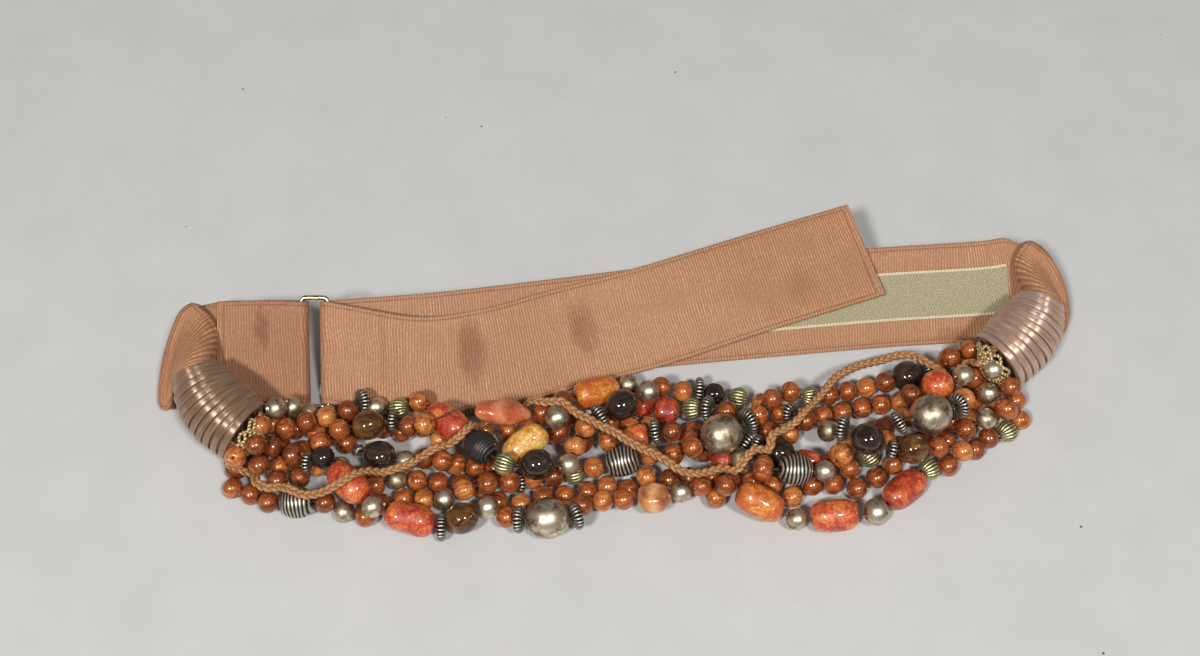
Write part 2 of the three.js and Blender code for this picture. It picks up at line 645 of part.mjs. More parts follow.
// Beads that still touch a bead of another strand are made a little smaller.
function fitted(strands) {
  const balls = strands.flatMap(ballsOf).filter(({ owners }) => owners.length === 1);
  balls.forEach((a, j) => {
    for (const b of balls.slice(j + 1)) {
      if (a.s === b.s && Math.abs(a.i - b.i) < 2) continue;
      const [one, other] = [a.owners[0], b.owners[0]];
      const over = one.radius + other.radius + strandGap / 2 - a.at.distanceTo(b.at);
      if (over > 0) (one.radius < other.radius ? one : other).radius -= over;
    }
  });
}

// A ring of points round a place on a strand.
function circle(at, axis, radius, sides, start) {
  const side = squareTo(axis, start);
  const other = axis.clone().cross(side);
  return Array.from({ length: sides }, (_, k) => {
    const angle = (2 * Math.PI * k) / sides;
    return at.clone().addScaledVector(side, radius * Math.cos(angle)).addScaledVector(other, radius * Math.sin(angle));
  });
}

// The whole string as one body: its thread, thick where its own beads are. A plain string is
// rounded off to a tube, and the cord is one.
function stringBody(strand, { plain, cord }, index) {
  const rings = [];
  const sides = plain || cord ? tubeSides : beadSides;
  const ring = (at, axis, radius) => rings.push(circle(at, axis, radius, sides, up));
  const thin = cord ? leatherRadius : threadRadius;
  const inMouth = (side, outs) => {
    for (const out of outs)
      ring(seatPoint(FRAMES[side], SEATS[side][index], out), FRAMES[side].mouth.axis.clone().multiplyScalar(side === "left" ? -1 : 1), thin);
  };
  inMouth("left", [-threadDepth, 0]);
  strand.forEach((bead, i) => {
    const axis = beadAxis(strand, i);
    if (cord) ring(bead.at, axis, thin);
    else if (bead.name)
      for (const side of [-1, 1])
        ring(bead.at.clone().addScaledVector(axis, side * (bead.length + clearance) / 2), axis, thin);
    else if (plain) ring(bead.at, axis, bead.radius * 0.78);
    else {
      const body = bead.flat ? 0.4 : 0.22;
      for (const side of [-1, 1])
        ring(bead.at.clone().addScaledVector(axis, side * body * bead.length), axis, bead.radius * (bead.flat ? 1 : 0.95));
      const next = strand[i + 1];
      if (next && !next.name)
        ring(bead.at.clone().lerp(next.at, bead.length / (bead.length + next.length)), next.at.clone().sub(bead.at).normalize(), thin * 2);
    }
  });
  inMouth("right", [0, -threadDepth]);
  return loft(rings, "fan");
}

// A main bead with its bore, turned round its axis.
function boredBead({ radius, length, shape }) {
  const profile = [
    new THREE.Vector2(boreRadius, -length / 2),
    ...shape.toReversed().map(([l, r]) => new THREE.Vector2(r * radius, (l * length) / 2)),
    new THREE.Vector2(boreRadius, length / 2),
  ];
  profile.push(profile[0].clone());
  return new THREE.LatheGeometry(profile, beadSides);
}

function solidOf(geometry) {
  const bare = geometry.clone();
  bare.deleteAttribute("normal");
  bare.deleteAttribute("uv");
  const merged = mergeVertices(bare, 1e-4);
  return new wasm.Manifold(new wasm.Mesh({
    numProp: 3,
    vertProperties: merged.attributes.position.array,
    triVerts: new Uint32Array(merged.index.array),
  }));
}

function geometryOf(solid) {
  const mesh = solid.getMesh();
  const geometry = new THREE.BufferGeometry();
  geometry.setAttribute("position", new THREE.BufferAttribute(mesh.vertProperties, 3));
  geometry.setIndex(new THREE.BufferAttribute(mesh.triVerts, 1));
  return geometry;
}

// A polished stone: a flat table and facets round an uneven outline, bored along its length.
const CHUNK_OUTLINE = [
  [-0.98, 0.35], [-0.5, 0.95], [0.35, 1], [1, 0.45], [0.9, -0.5], [0.1, -0.9], [-0.8, -0.65],
];
function chunkBead({ radius, length }) {
  const levels = [[-0.8, 0.72], [-0.3, 1], [0.3, 1], [0.8, 0.66]];
  const rings = levels.map(([depth, size]) =>
    CHUNK_OUTLINE.map(([l, w]) => vec(w * size * radius, (l * size * length) / 2, depth * radius * 0.8)),
  );
  const bore = new THREE.CylinderGeometry(boreRadius, boreRadius, 2 * length, 8);
  return geometryOf(solidOf(loft(rings, "fan")).subtract(solidOf(bore)));
}

// The bundle of fine twisted cords that fills the lower part of a mouth.
function cordKnot({ mouth }) {
  const { level, sideways } = mouthAxes(mouth);
  const centre = mouth.at.clone()
    .addScaledVector(mouth.axis, -knotHeight / 2 - clearance)
    .addScaledVector(level, knotHeight / 2 + clearance - wrapMouthRadius);
  const shares = [[-1, 0.3], [-0.75, 0.75], [0, 1], [0.75, 0.75], [1, 0.3]];
  const rings = shares.map(([l, r]) =>
    circle(centre.clone().addScaledVector(sideways, (l * knotLength) / 2), sideways, (r * knotHeight) / 2, 8, level),
  );
  return { geometry: loft(rings, "fan"), centre, sideways };
}

// Assembly

const KNOTS = { left: cordKnot(FRAMES.left), right: cordKnot(FRAMES.right) };
const SEATS = {
  left: seatsOf(FRAMES.left, ROUTES.map(({ rows }) => rows[0])),
  right: seatsOf(FRAMES.right, ROUTES.map(({ rows }) => rows.at(-1))),
};
const STRANDS = ROUTES.map(strung);
settle(STRANDS);
fitted(STRANDS);

const belt = new THREE.Group();

function add(name, geometry, color, roughness, metalness = 0) {
  const mesh = new THREE.Mesh(geometry, new THREE.MeshStandardMaterial({ color, roughness, metalness }));
  mesh.name = name;
  belt.add(mesh);
  return mesh;
}

add("left_strap", strap(FRAMES.left, LEFT_STATIONS, BENDS.left), 0xb47a58, 0.85);
add("long_strap", strap(FRAMES.right, LONG_STATIONS, BENDS.right), 0xb47a58, 0.85);
const tapeOffset = -(strapThickness + tapeThickness) / 2 - clearance;
const tapeRows = stationsOf(LONG_RUN).slice(1, -1).map((station) => {
  const line = lineAcross(station, tapeWidth);
  return [line[0], line[sectionSteps / 2], line.at(-1)];
});
add("backing_tape", cloth(tapeRows, tapeThickness, tapeOffset), 0xa5a073, 0.9);
add("slide_ring", slideRing(), 0xcfc6a8, 0.3, 1);
for (const [side, frame] of Object.entries(FRAMES)) {
  add(`${side}_cord_wrap`, cordWrap(frame), 0x8a6a50, 0.4);
  add(`${side}_cord_knot`, KNOTS[side].geometry, 0xbea064, 0.5, 0.3);
}

const counts = {};
STRANDS.forEach((strand, s) => {
  const route = ROUTES[s];
  const [color, roughness] = route.cord ? [0xb97d46, 0.7] : [0x96482a, 0.35];
  add(route.name, stringBody(strand, route, s), color, roughness);
  strand.forEach((bead, i) => {
    if (!bead.name) return;
    counts[bead.name] = (counts[bead.name] ?? 0) + 1;
    const geometry = bead.chunk ? chunkBead(bead) : boredBead(bead);
    const mesh = add(`${bead.name}_${counts[bead.name]}`, geometry, bead.color, 0.35, bead.metal ?? 0);
    mesh.quaternion.copy(turnedTo(beadAxis(strand, i)));
    mesh.position.copy(bead.at);
  });
});

// The origin is the middle of the underside of the whole belt's box.
const box = new THREE.Box3().setFromObject(belt);
const middle = box.getCenter(vec(0, 0, 0));
for (const mesh of belt.children) {
  mesh.position.x -= middle.x;
  mesh.position.y -= middle.y;
  mesh.position.z -= box.min.z;
}

export default belt;
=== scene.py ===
import math

import bpy
import numpy as np
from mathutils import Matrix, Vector


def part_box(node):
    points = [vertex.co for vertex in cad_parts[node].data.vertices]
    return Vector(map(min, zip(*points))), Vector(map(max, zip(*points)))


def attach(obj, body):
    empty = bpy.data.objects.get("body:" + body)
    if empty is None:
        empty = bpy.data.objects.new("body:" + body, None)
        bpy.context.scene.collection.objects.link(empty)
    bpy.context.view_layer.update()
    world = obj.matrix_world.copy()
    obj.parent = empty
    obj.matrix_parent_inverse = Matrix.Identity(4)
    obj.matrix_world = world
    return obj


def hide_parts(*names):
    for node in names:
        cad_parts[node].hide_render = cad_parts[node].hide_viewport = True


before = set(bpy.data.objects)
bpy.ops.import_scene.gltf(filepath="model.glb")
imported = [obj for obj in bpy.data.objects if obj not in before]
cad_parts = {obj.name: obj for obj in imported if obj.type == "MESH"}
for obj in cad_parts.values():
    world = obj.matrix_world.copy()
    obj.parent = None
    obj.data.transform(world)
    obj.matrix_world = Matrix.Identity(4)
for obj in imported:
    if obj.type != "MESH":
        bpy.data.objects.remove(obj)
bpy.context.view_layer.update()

MM = 0.001
SPAN = 350
STRAP_WIDTH = 39
STRAP_THICKNESS = 1.8
TAPE_WIDTH = 19
TAPE_THICKNESS = 0.8
CLEARANCE = 0.3
WIRE_DIAMETER = 1.8
RING_BAR_SPACING = 10
GATHER_WIDTH = 30
ROLL_ANGLE = math.radians(168)
ROLL_PAST = 1.5
FOLD_WIDTH = 41
FOLD_RADIUS = 2.6
FLARE_REACH = 18
FLARE_ARRIVAL = 6
WRAP_LENGTH = 30
WRAP_BEND = math.radians(34)
WRAP_TURNS = 11
WRAP_MOUTH_RADIUS = 12.3
WRAP_MIDDLE_RADIUS = 13.5
WRAP_FABRIC_RADIUS = 8.7
MOUTH_BORE_RADIUS = 10.3
MOUTH_BORE_DEPTH = 9
KNOT_LENGTH = 15
KNOT_HEIGHT = 6
RIB_PITCH = 1.1
RIB_DEPTH = 0.13
RIB_STEPS = 4
FLARE_STEPS = 7
TURN_STEPS = 8

# The wraps, the ring, the folds and the strap sections, as shares of the span and, for the rise,
# of the strap's width; headings, pitches, leans and sweeps in degrees.
WRAPS = {
    "left": {"along": -0.403, "back": 0.0984, "rise": 0.414, "heading": 132.3, "pitch": 15, "side": 1},
    "right": {"along": 0.4604, "back": 0.1879, "rise": 0.413, "heading": 50.3, "pitch": 16, "side": -1},
}
RING = {"along": -0.3077, "back": 0.1681, "rise": 0.369, "lean": 50, "sweep": 0}
FOLDS = {
    "left": {"along": -0.4529, "back": 0.1618, "rise": 0.381, "lean": 58, "sweep": 15.7},
    "right": {"along": 0.4936, "back": 0.2474, "rise": 0.381, "lean": 55, "sweep": -25},
}
# How far a fold's edge swells out at its middle, and its upper and lower corners draw in, in
# millimetres.
FOLD_SHAPES = {
    "left": {"swell": 2.5, "upper": 3.0, "lower": 1.2, "lower_from": 0.42},
    "right": {"swell": 5.3, "upper": 2.0, "lower": 4.5, "lower_from": 0.25},
}
UPPER_CORNER_FROM = 0.36
SECTION = ("along", "back", "rise", "lean", "sweep")
LEFT_RUN = [
    (-0.412, 0.1706, 0.341, 51, 9), (-0.3786, 0.171, 0.341, 50, 5), (-0.3571, 0.171, 0.349, 50, 0),
]
LEFT_RETURN = [
    (-0.346, 0.1663, 0.403, 50, 0), (-0.3857, 0.1665, 0.39, 50, 0), (-0.414, 0.1656, 0.39, 50, 3),
]
LONG_RUN = [
    (0.4629, 0.2577, 0.341, 51, -17), (0.4343, 0.2537, 0.323, 53.5, -7),
    (0.3143, 0.2451, 0.309, 55.5, -6), (0.1886, 0.2326, 0.305, 56, -8),
    (0.0571, 0.2171, 0.318, 54, -9), (-0.0429, 0.2009, 0.331, 52, -8),
    (-0.1714, 0.182, 0.341, 50, -5), (-0.2571, 0.1735, 0.346, 50, -1),
]
TAIL = [
    (-0.2629, 0.1597, 0.385, 50, -1), (-0.194, 0.149, 0.351, 50, 2), (-0.12, 0.16, 0.351, 50, -9),
    (-0.0437, 0.1843, 0.359, 53, -15), (0.0529, 0.2095, 0.425, 58, -18),
    (0.1743, 0.2474, 0.544, 70, -17), (0.2954, 0.2846, 0.641, 72, -20),
]

# Each string's beads in the order in which they are threaded, from the left end.
# W wood, S small silver, M medium silver, O olive melon, R rondelle, r small rondelle, d dark,
# L coral, and the main beads: B silver ball, D smoky, A amber, Q marbled, Z banded, G grooved,
# K red barrel, Y yellow barrel, C carnelian chunk, T agate chunk. - is bare thread.
STRINGS = {
    "front": "WdWWWrdKSKRASWRBRWWWTSWWWYSKMKOWWWWOWW",
    "low": "WWWWZWSWWWWSWWWrWWOWZWWWBRWWWOWWWWDRWWWS",
    "upper": "WWWWWWRSOWKGODSWWRDSWWRdOWWrWSRDrAWWWSWW",
    "middle": "SSWWWW-r-DSWWWWWYMWYSLLORWORRDLWWOWRBRWWSS",
    "over": "WWWWWWArWW--CWWWWLRWWWLMWZSWWOWWWQSWWW",
    "under_front": "WWWWWOWWSWWWWWWWWWWWWWWWWWWWWWWWWWWWWWWWW",
    "under_back": "WSWWWWWWWWWWWWWWWWWWWWWWWWWWWWWWWWSWW",
}
RIDGES = {"power": 3.2, "bore": 0.3, "steps": 9, "depth": 0.16}
# By kind: the word in the piece's name, the material slot, the length in millimetres and the form.
SMALL_BEADS = {
    "W": ("wood_beads", "wood_beads", 7.3, {"power": 2.0, "steps": 13, "sides": 22}),
    "S": ("silver_beads", "antique_silver", 7.4, {"power": 2.1}),
    "M": ("large_silver_beads", "antique_silver", 8.8, {"power": 2.05, "steps": 19, "sides": 32}),
    "d": ("dark_beads", "black_bead", 8, {"power": 2.3, "steps": 17, "sides": 28}),
    "L": ("coral_beads", "red_resin", 9, {"power": 2.8, "sides": 24}),
    "O": ("melon_beads", "antique_silver", 7.6, {"power": 2.0, "sides": 90, "grooves": 18, "depth": 0.12}),
    "R": ("rondelles", "antique_silver", 3.4, {**RIDGES, "sides": 80, "grooves": 20}),
    "r": ("small_rondelles", "antique_silver", 3, {**RIDGES, "sides": 64, "grooves": 16}),
}
LEAST_RADII = {"R": 4.7, "M": 4.5}
# By kind: the node's name without its number, the material slot, and the form's power, bore, steps
# and sides, or for a stone its radius and length.
MAIN_BEADS = {
    "B": ("silver_ball", "antique_silver", (2.05, 0.16, 33, 48)),
    "D": ("smoky_bead", "smoky_resin", (2.05, 0.18, 25, 40)),
    "A": ("amber_bead", "amber_resin", (2.1, 0.18, 25, 40)),
    "Q": ("marbled_bead", "marbled_resin", (2.15, 0.18, 25, 40)),
    "Z": ("banded_bead", "banded_bead", (2.3, 0.18, 65, 72)),
    "G": ("grooved_bead", "black_bead", (2.3, 0.18, 65, 72)),
    "K": ("red_barrel", "red_resin", (3.0, 0.2, 33, 40)),
    "Y": ("yellow_barrel", "yellow_resin", (3.2, 0.2, 33, 40)),
    "C": ("carnelian_chunk", "carnelian_stone", (5.4, 22)),
    "T": ("agate_chunk", "agate_stone", (6.3, 12.6)),
}
STONES = "CT"
STRIPE_LINES = {"Z": 9, "G": 13}
STRIPE_DEPTH = 0.035
STRIPE_WANDER = 0.16
LUMPS = {"K": 0.05, "Y": 0.06, "Q": 0.02, "L": 0.1}
THREAD_RADIUS = 0.32
PLAIN_SHARE = 0.78
FRONT_SHARE = 0.95

rng = np.random.default_rng(7)


# Vectors

def unit(v):
    v = np.asarray(v, float)
    return v / np.linalg.norm(v, axis=-1, keepdims=True)


def square_to(axis, direction):
    """The part of a direction that is square to an axis, as a unit vector."""
    return unit(direction - axis * np.dot(direction, axis))


def square_to_each(axes, directions):
    """The same for many axes, with a direction for each or one for all."""
    return unit(directions - axes * (directions * axes).sum(1, keepdims=True))


def round_angles(count):
    return 2 * np.pi * np.arange(count) / count


UP = np.array([0.0, 0.0, 1.0])
ALONG = np.array([1.0, 0.0, 0.0])


def table_place(row):
    """A table's place in millimetres, before the frame's shift."""
    return np.array([row["along"] * SPAN, row["back"] * SPAN, row["rise"] * STRAP_WIDTH])


def node_middle(node):
    low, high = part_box(node)
    return (np.array(low) + np.array(high)) / (2 * MM)


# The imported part's origin is the middle of its underside, so the tables shift by the ring's place.
SHIFT = node_middle("slide_ring") - table_place(RING)


def placed(row):
    return table_place(row) + SHIFT


def width_direction(lean, sweep):
    """The direction of a section's width, from its lower edge to its upper edge."""
    l, s = math.radians(lean), math.radians(sweep)
    return np.array([math.sin(l) * math.sin(s), math.sin(l) * math.cos(s), math.cos(l)])


def middles_of(rows):
    """Each row's middle point, or the points themselves where a row is one point."""
    return rows if rows.ndim == 2 else rows[:, rows.shape[1] // 2]


def steps_along(points):
    """The distance from each point to the next."""
    return np.linalg.norm(np.diff(points, axis=0), axis=1)


def distance_along(points):
    return np.concatenate([[0], np.cumsum(steps_along(points))])


def smooth_curve(keys, steps):
    """A centripetal Catmull-Rom curve through keys, an array of points or of rows of points."""
    keys = np.asarray(keys, float)
    flat = keys.reshape(len(keys), -1)
    gaps = np.maximum(steps_along(middles_of(keys)), 1e-3) ** 0.5
    padded = np.vstack([2 * flat[0] - flat[1], flat, 2 * flat[-1] - flat[-2]])
    knots = np.concatenate([[0], np.cumsum(np.concatenate([gaps[:1], gaps, gaps[-1:]]))])
    pieces = []
    for i in range(len(keys) - 1):
        a, b, c, d = padded[i:i + 4]
        ta, tb, tc, td = knots[i:i + 4]
        t = np.linspace(tb, tc, steps, endpoint=i == len(keys) - 2)[:, None]
        ab = ((tb - t) * a + (t - ta) * b) / (tb - ta)
        bc = ((tc - t) * b + (t - tb) * c) / (tc - tb)
        cd = ((td - t) * c + (t - tc) * d) / (td - tc)
        abc = ((tc - t) * ab + (t - ta) * bc) / (tc - ta)
        bcd = ((td - t) * bc + (t - tb) * cd) / (td - tb)
        pieces.append(((tc - t) * abc + (t - tb) * bcd) / (tc - tb))
    return np.vstack(pieces).reshape((-1,) + keys.shape[1:])


def evenly(rows, pitch):
    """The rows again at an even pitch along their middle, and each one's distance from the start."""
    run = distance_along(middles_of(rows))
    wanted = np.arange(0, run[-1], pitch)
    index = np.clip(np.searchsorted(run, wanted) - 1, 0, len(run) - 2)
    share = (wanted - run[index]) / (run[index + 1] - run[index])
    share = share.reshape((-1,) + (1,) * (rows.ndim - 1))
    return rows[index] * (1 - share) + rows[index + 1] * share, wanted


# Meshes

def mesh_object(name, points, faces, material, fields=None, flat_shaded=False):
    """A piece from points in millimetres. fields are numbers or vectors for each point, by name."""
    mesh = bpy.data.meshes.new(name)
    mesh.from_pydata((np.asarray(points) * MM).tolist(), [], [list(map(int, f)) for f in faces])
    mesh.validate()
    for field, values in (fields or {}).items():
        values = np.asarray(values, np.float32)
        kind = "FLOAT" if values.ndim == 1 else "FLOAT_VECTOR"
        layer = mesh.attributes.new(field, kind, "POINT")
        layer.data.foreach_set("value" if values.ndim == 1 else "vector", values.ravel())
    mesh.polygons.foreach_set("use_smooth", [not flat_shaded] * len(mesh.polygons))
    mesh.materials.append(material)
    mesh.update()
    piece = bpy.data.objects.new(name, mesh)
    bpy.context.scene.collection.objects.link(piece)
    return piece


def dressed(piece, node):
    """Puts a piece of the belt on the one body and hides the node that it stands for."""
    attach(piece, "root")
    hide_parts(node)


def grid_faces(rows, columns, closed=False):
    """Quads over rows of points that go round a tube. Closed joins the last row to the first."""
    here = np.arange(rows if closed else rows - 1)[:, None] * columns
    there = (here + columns) % (rows * columns)
    k = np.arange(columns)
    side = (k + 1) % columns
    return np.stack([here + k, here + side, there + side, there + k], axis=-1).reshape(-1, 4)


def tube(path, radius, sides, normal=UP, flatten=1.0, squareness=1.0, closed=False):
    """A tube round a path. normal is its upward direction, for each point or once; flatten is its
    height over its width, and squareness below 1 makes its section boxier. Returns points, faces,
    and each point's distance along and angle round."""
    if closed:
        tangent = unit(np.roll(path, -1, axis=0) - np.roll(path, 1, axis=0))
    else:
        tangent = unit(np.gradient(path, axis=0))
    normal = square_to_each(tangent, normal)
    side = np.cross(tangent, normal)
    angle = round_angles(sides)
    wide, high = (np.sign(w) * np.abs(w) ** squareness for w in (np.cos(angle), np.sin(angle)))
    section = side[:, None] * wide[:, None] + flatten * normal[:, None] * high[:, None]
    points = path[:, None] + radius * section
    faces = [tuple(f) for f in grid_faces(len(path), sides, closed)]
    if not closed:
        faces.append(tuple(range(sides))[::-1])
        faces.append(tuple((len(path) - 1) * sides + np.arange(sides)))
    return points.reshape(-1, 3), faces, np.repeat(distance_along(path), sides), np.tile(angle, len(path))


def strand(along, around, own=0.0):
    """The field of a cord: distance along, place round, and a number of the strand's own."""
    return np.stack([along, around, np.full(len(along), own)], axis=1)


class Pile:
    """Many shapes gathered into one mesh, with their fields."""

    def __init__(self):
        self.points, self.faces, self.fields, self.count = [], [], {}, 0

    def add(self, points, faces, **fields):
        self.points.append(points)
        self.faces.extend(tuple(i + self.count for i in face) for face in faces)
        for name, values in fields.items():
            self.fields.setdefault(name, []).append(values)
        self.count += len(points)

    def build(self, name, material):
        fields = {field: np.concatenate(values) for field, values in self.fields.items()}
        return mesh_object(name, np.vstack(self.points), self.faces, material, fields)


# Camera, light and floor

CAMERA_ELEVATION = math.radians(56)
CAMERA_PLACE = (-9.7, -280.8, 460)
CAMERA_LENS = 42
SENSOR_WIDTH = 36
LAMP_SIZE = 0.26
FLOOR_REACH = 2000
FLOOR_LEVEL = -0.05


def make_camera():
    data = bpy.data.cameras.new("camera")
    data.sensor_width = SENSOR_WIDTH
    data.lens = CAMERA_LENS
    data.clip_start, data.clip_end = 0.01, 20
    camera = bpy.data.objects.new("camera", data)
    camera.location = [c * MM for c in CAMERA_PLACE]
    camera.rotation_euler = (math.pi / 2 - CAMERA_ELEVATION, 0, 0)
    bpy.context.scene.collection.objects.link(camera)
    bpy.context.scene.camera = camera


def make_light(name, place, power, size, color):
    """A square area light that faces the middle of the belt."""
    data = bpy.data.lights.new(name, "AREA")
    data.energy, data.size, data.color = power, size, color
    light = bpy.data.objects.new(name, data)
    light.location = place
    light.rotation_euler = (-Vector(place)).to_track_quat("-Z", "Y").to_euler()
    bpy.context.scene.collection.objects.link(light)


def make_world(color, strength):
    world = bpy.data.worlds.new("studio")
    world.use_nodes = True
    background = world.node_tree.nodes["Background"]
    background.inputs["Color"].default_value = (*color, 1)
    background.inputs["Strength"].default_value = strength
    bpy.context.scene.world = world


# Materials

def srgb(red, green, blue):
    """A colour given as 0 to 255 on screen, as the shaders take it."""
    def linear(c):
        c /= 255
        return c / 12.92 if c <= 0.04045 else ((c + 0.055) / 1.055) ** 2.4
    return (linear(red), linear(green), linear(blue), 1)


class Shader:
    """A material's node tree, with short calls for the nodes that the materials here need."""

    def __init__(self, name, **constants):
        self.material = bpy.data.materials.new(name)
        self.material.use_nodes = True
        self.tree = self.material.node_tree
        self.surface = self.tree.nodes["Principled BSDF"]
        for socket, value in constants.items():
            self.surface.inputs[socket.replace("_", " ")].default_value = value

    def node(self, kind, inputs=None, **settings):
        made = self.tree.nodes.new(kind)
        for key, value in settings.items():
            setattr(made, key, value)
        for socket, value in (inputs or {}).items():
            if isinstance(value, bpy.types.NodeSocket):
                self.tree.links.new(value, made.inputs[socket])
            else:
                made.inputs[socket].default_value = value
        return made

    def field(self, name, output="Fac"):
        return self.node("ShaderNodeAttribute", attribute_name=name).outputs[output]

    def vector(self, name):
        return self.field(name, "Vector")

    def place(self):
        """The place on the object, in metres."""
        return self.node("ShaderNodeTexCoord").outputs["Object"]

    def math(self, operation, a, b=0.0):
        return self.node("ShaderNodeMath", {0: a, 1: b}, operation=operation).outputs[0]

    def plus(self, a, b):
        return self.math("ADD", a, b)

    def minus(self, a, b):
        return self.math("SUBTRACT", a, b)

    def times(self, a, b):
        return self.math("MULTIPLY", a, b)

    def sine(self, value, period):
        return self.math("SINE", self.times(value, 2 * math.pi / period))

    def scaled(self, vector, by):
        return self.node("ShaderNodeVectorMath", {0: vector, 1: by}, operation="MULTIPLY").outputs[0]

    def parts(self, vector):
        return self.node("ShaderNodeSeparateXYZ", {0: vector}).outputs

    def noise(self, vector, scale, detail=2.0, roughness=0.5, distortion=0.0):
        """Noise over a vector. A scale of three numbers is one for each axis."""
        if isinstance(scale, tuple):
            vector, scale = self.scaled(vector, scale), 1
        return self.node("ShaderNodeTexNoise", {
            "Vector": vector, "Scale": scale, "Detail": detail, "Roughness": roughness,
            "Distortion": distortion,
        }).outputs["Fac"]

    def cells(self, vector, scale, feature="F1"):
        return self.node(
            "ShaderNodeTexVoronoi", {"Vector": vector, "Scale": scale}, feature=feature
        ).outputs["Distance"]

    def waves(self, vector, scale, distortion=0.0, detail=2.0, direction="X"):
        return self.node(
            "ShaderNodeTexWave",
            {"Vector": vector, "Scale": scale, "Distortion": distortion, "Detail": detail},
            bands_direction=direction,
        ).outputs["Fac"]

    def span(self, value, low, high, to_low=0.0, to_high=1.0):
        return self.node(
            "ShaderNodeMapRange",
            {"Value": value, "From Min": low, "From Max": high, "To Min": to_low, "To Max": to_high},
        ).outputs["Result"]

    def ramp(self, value, stops):
        made = self.node("ShaderNodeValToRGB", {"Fac": value})
        elements = made.color_ramp.elements
        while len(elements) < len(stops):
            elements.new(0.5)
        for element, (place, color) in zip(elements, stops):
            element.position, element.color = place, srgb(*color)
        return made.outputs["Color"]

    def mix(self, share, a, b):
        """Mixes two colours, each a socket or red, green and blue."""
        a, b = (srgb(*color) if isinstance(color, tuple) else color for color in (a, b))
        made = self.node("ShaderNodeMix", data_type="RGBA")
        for socket, value in ((0, share), (6, a), (7, b)):
            if isinstance(value, bpy.types.NodeSocket):
                self.tree.links.new(value, made.inputs[socket])
            else:
                made.inputs[socket].default_value = value
        return made.outputs[2]

    def bump(self, height, strength, distance):
        inputs = {"Height": height, "Strength": strength, "Distance": distance * MM}
        return self.node("ShaderNodeBump", inputs).outputs["Normal"]

    def out(self, color=None, roughness=None, normal=None, **others):
        wanted = {"Base Color": color, "Roughness": roughness, "Normal": normal, **others}
        for socket, value in wanted.items():
            if value is not None:
                self.tree.links.new(value, self.surface.inputs[socket])
        return self.material


def dark_patch_mask(s, weave, dark_patch):
    """How strongly one soft ragged dark patch shows. Most patches are stains; the broad ones on the left
    strap's inner layers are painted shade over soiling.
    """
    middle_along, middle_across, reach_along, reach_across, strength = dark_patch
    along, across, _ = s.parts(weave)
    dx = s.math("DIVIDE", s.minus(along, middle_along), reach_along)
    dy = s.math("DIVIDE", s.minus(across, middle_across), reach_across)
    far = s.plus(s.times(dx, dx), s.times(dy, dy))
    ragged = s.span(s.noise(weave, (0.4, 0.3, 0), 4, 0.6), 0.3, 0.7, -0.5, 0.5)
    return s.span(s.plus(far, ragged), 0.1, 1.7, strength, 0.0)


def strap_material(name, stains_and_shade):
    """Ribbed fabric: ribs across the strap with painted light on their crests and painted shade in their
    grooves, dark seam lines, a faint moire, and dark patches that are stains and, on the left strap's inner
    layers, painted shade over soiling."""
    s = Shader(name, Roughness=0.62, Sheen_Weight=0.2, Sheen_Roughness=0.4)
    weave = s.vector("weave")
    rib = s.parts(weave)[2]
    threads = s.noise(weave, (0.9, 0.05, 0), 2)
    broken = s.noise(weave, (1.1, 0.75, 0), 3, 0.6)
    fine = s.noise(weave, (1.6, 3.5, 0), 3, 0.6)
    moire = s.noise(weave, (0.04, 0.09, 0), 3, 0.55, 0.6)
    # Painted light and shade of the ribs: each rib is coloured lighter on its crest and darker in its groove,
    # broken up along the threads.
    crest = s.times(rib, s.span(threads, 0.3, 0.7, 0.7, 1.0))
    crest = s.times(crest, s.span(broken, 0.35, 0.6, 0.45, 1.0))
    color = s.ramp(crest, [
        (0.0, (132, 86, 56)), (0.4, (174, 124, 86)), (0.75, (202, 153, 111)), (1.0, (229, 185, 140)),
    ])
    color = s.mix(s.span(moire, 0.35, 0.7, 0, 0.4), color, (154, 102, 72))
    color = s.mix(s.span(fine, 0.45, 0.75, 0, 0.3), color, (216, 166, 128))
    from_seam = s.math("ABSOLUTE", s.minus(s.field("edge"), SEAM_INSET))
    color = s.mix(s.span(from_seam, 0.1, 0.32, 0.55, 0), color, (96, 56, 38))
    # Dark patches mixed towards brown: stains, and on the left strap's inner layers painted shade over
    # soiling.
    soil_and_shade = 0.0
    for dark_patch in stains_and_shade:
        soil_and_shade = s.math("MAXIMUM", soil_and_shade, dark_patch_mask(s, weave, dark_patch))
    color = s.mix(soil_and_shade, color, (118, 60, 26))
    return s.out(color, s.span(fine, 0.3, 0.7, 0.5, 0.72), s.bump(fine, 0.25, 0.15))


def tape_material():
    """Olive herringbone tape with a cream stitched edge on each side."""
    s = Shader("tape_weave", Roughness=0.8, Sheen_Weight=0.15)
    weave = s.vector("weave")
    along, across, _ = s.parts(weave)
    zigzag = s.math("PINGPONG", s.plus(across, 30), 1.3)
    line = s.plus(along, zigzag)
    twill = s.sine(line, 1.15)
    broken = s.span(s.noise(weave, (0.9, 0.9, 0), 3, 0.6), 0.35, 0.65, 0.5, 1)
    picks = s.sine(across, 0.75)
    cloth = s.times(s.span(twill, -1, 1, 0.2, 1), s.span(picks, -1, 1, 0.6, 1))
    cloth = s.times(cloth, broken)
    stray = s.noise(weave, (1.5, 1.5, 0), 3)
    color = s.ramp(cloth, [(0.0, (112, 104, 78)), (0.4, (168, 158, 124)), (1.0, (208, 198, 164))])
    color = s.mix(s.span(stray, 0.4, 0.75, 0, 0.25), color, (200, 192, 156))
    edge = s.span(s.math("ABSOLUTE", across), TAPE_WIDTH / 2 - 1.15, TAPE_WIDTH / 2 - 0.95)
    stitch = s.sine(along, 1.3)
    cream = s.mix(s.span(stitch, -1, 1), (200, 186, 150), (226, 216, 186))
    color = s.mix(edge, color, cream)
    height = s.plus(cloth, s.times(edge, s.span(stitch, -1, 1)))
    return s.out(color, None, s.bump(height, 0.6, 0.3))


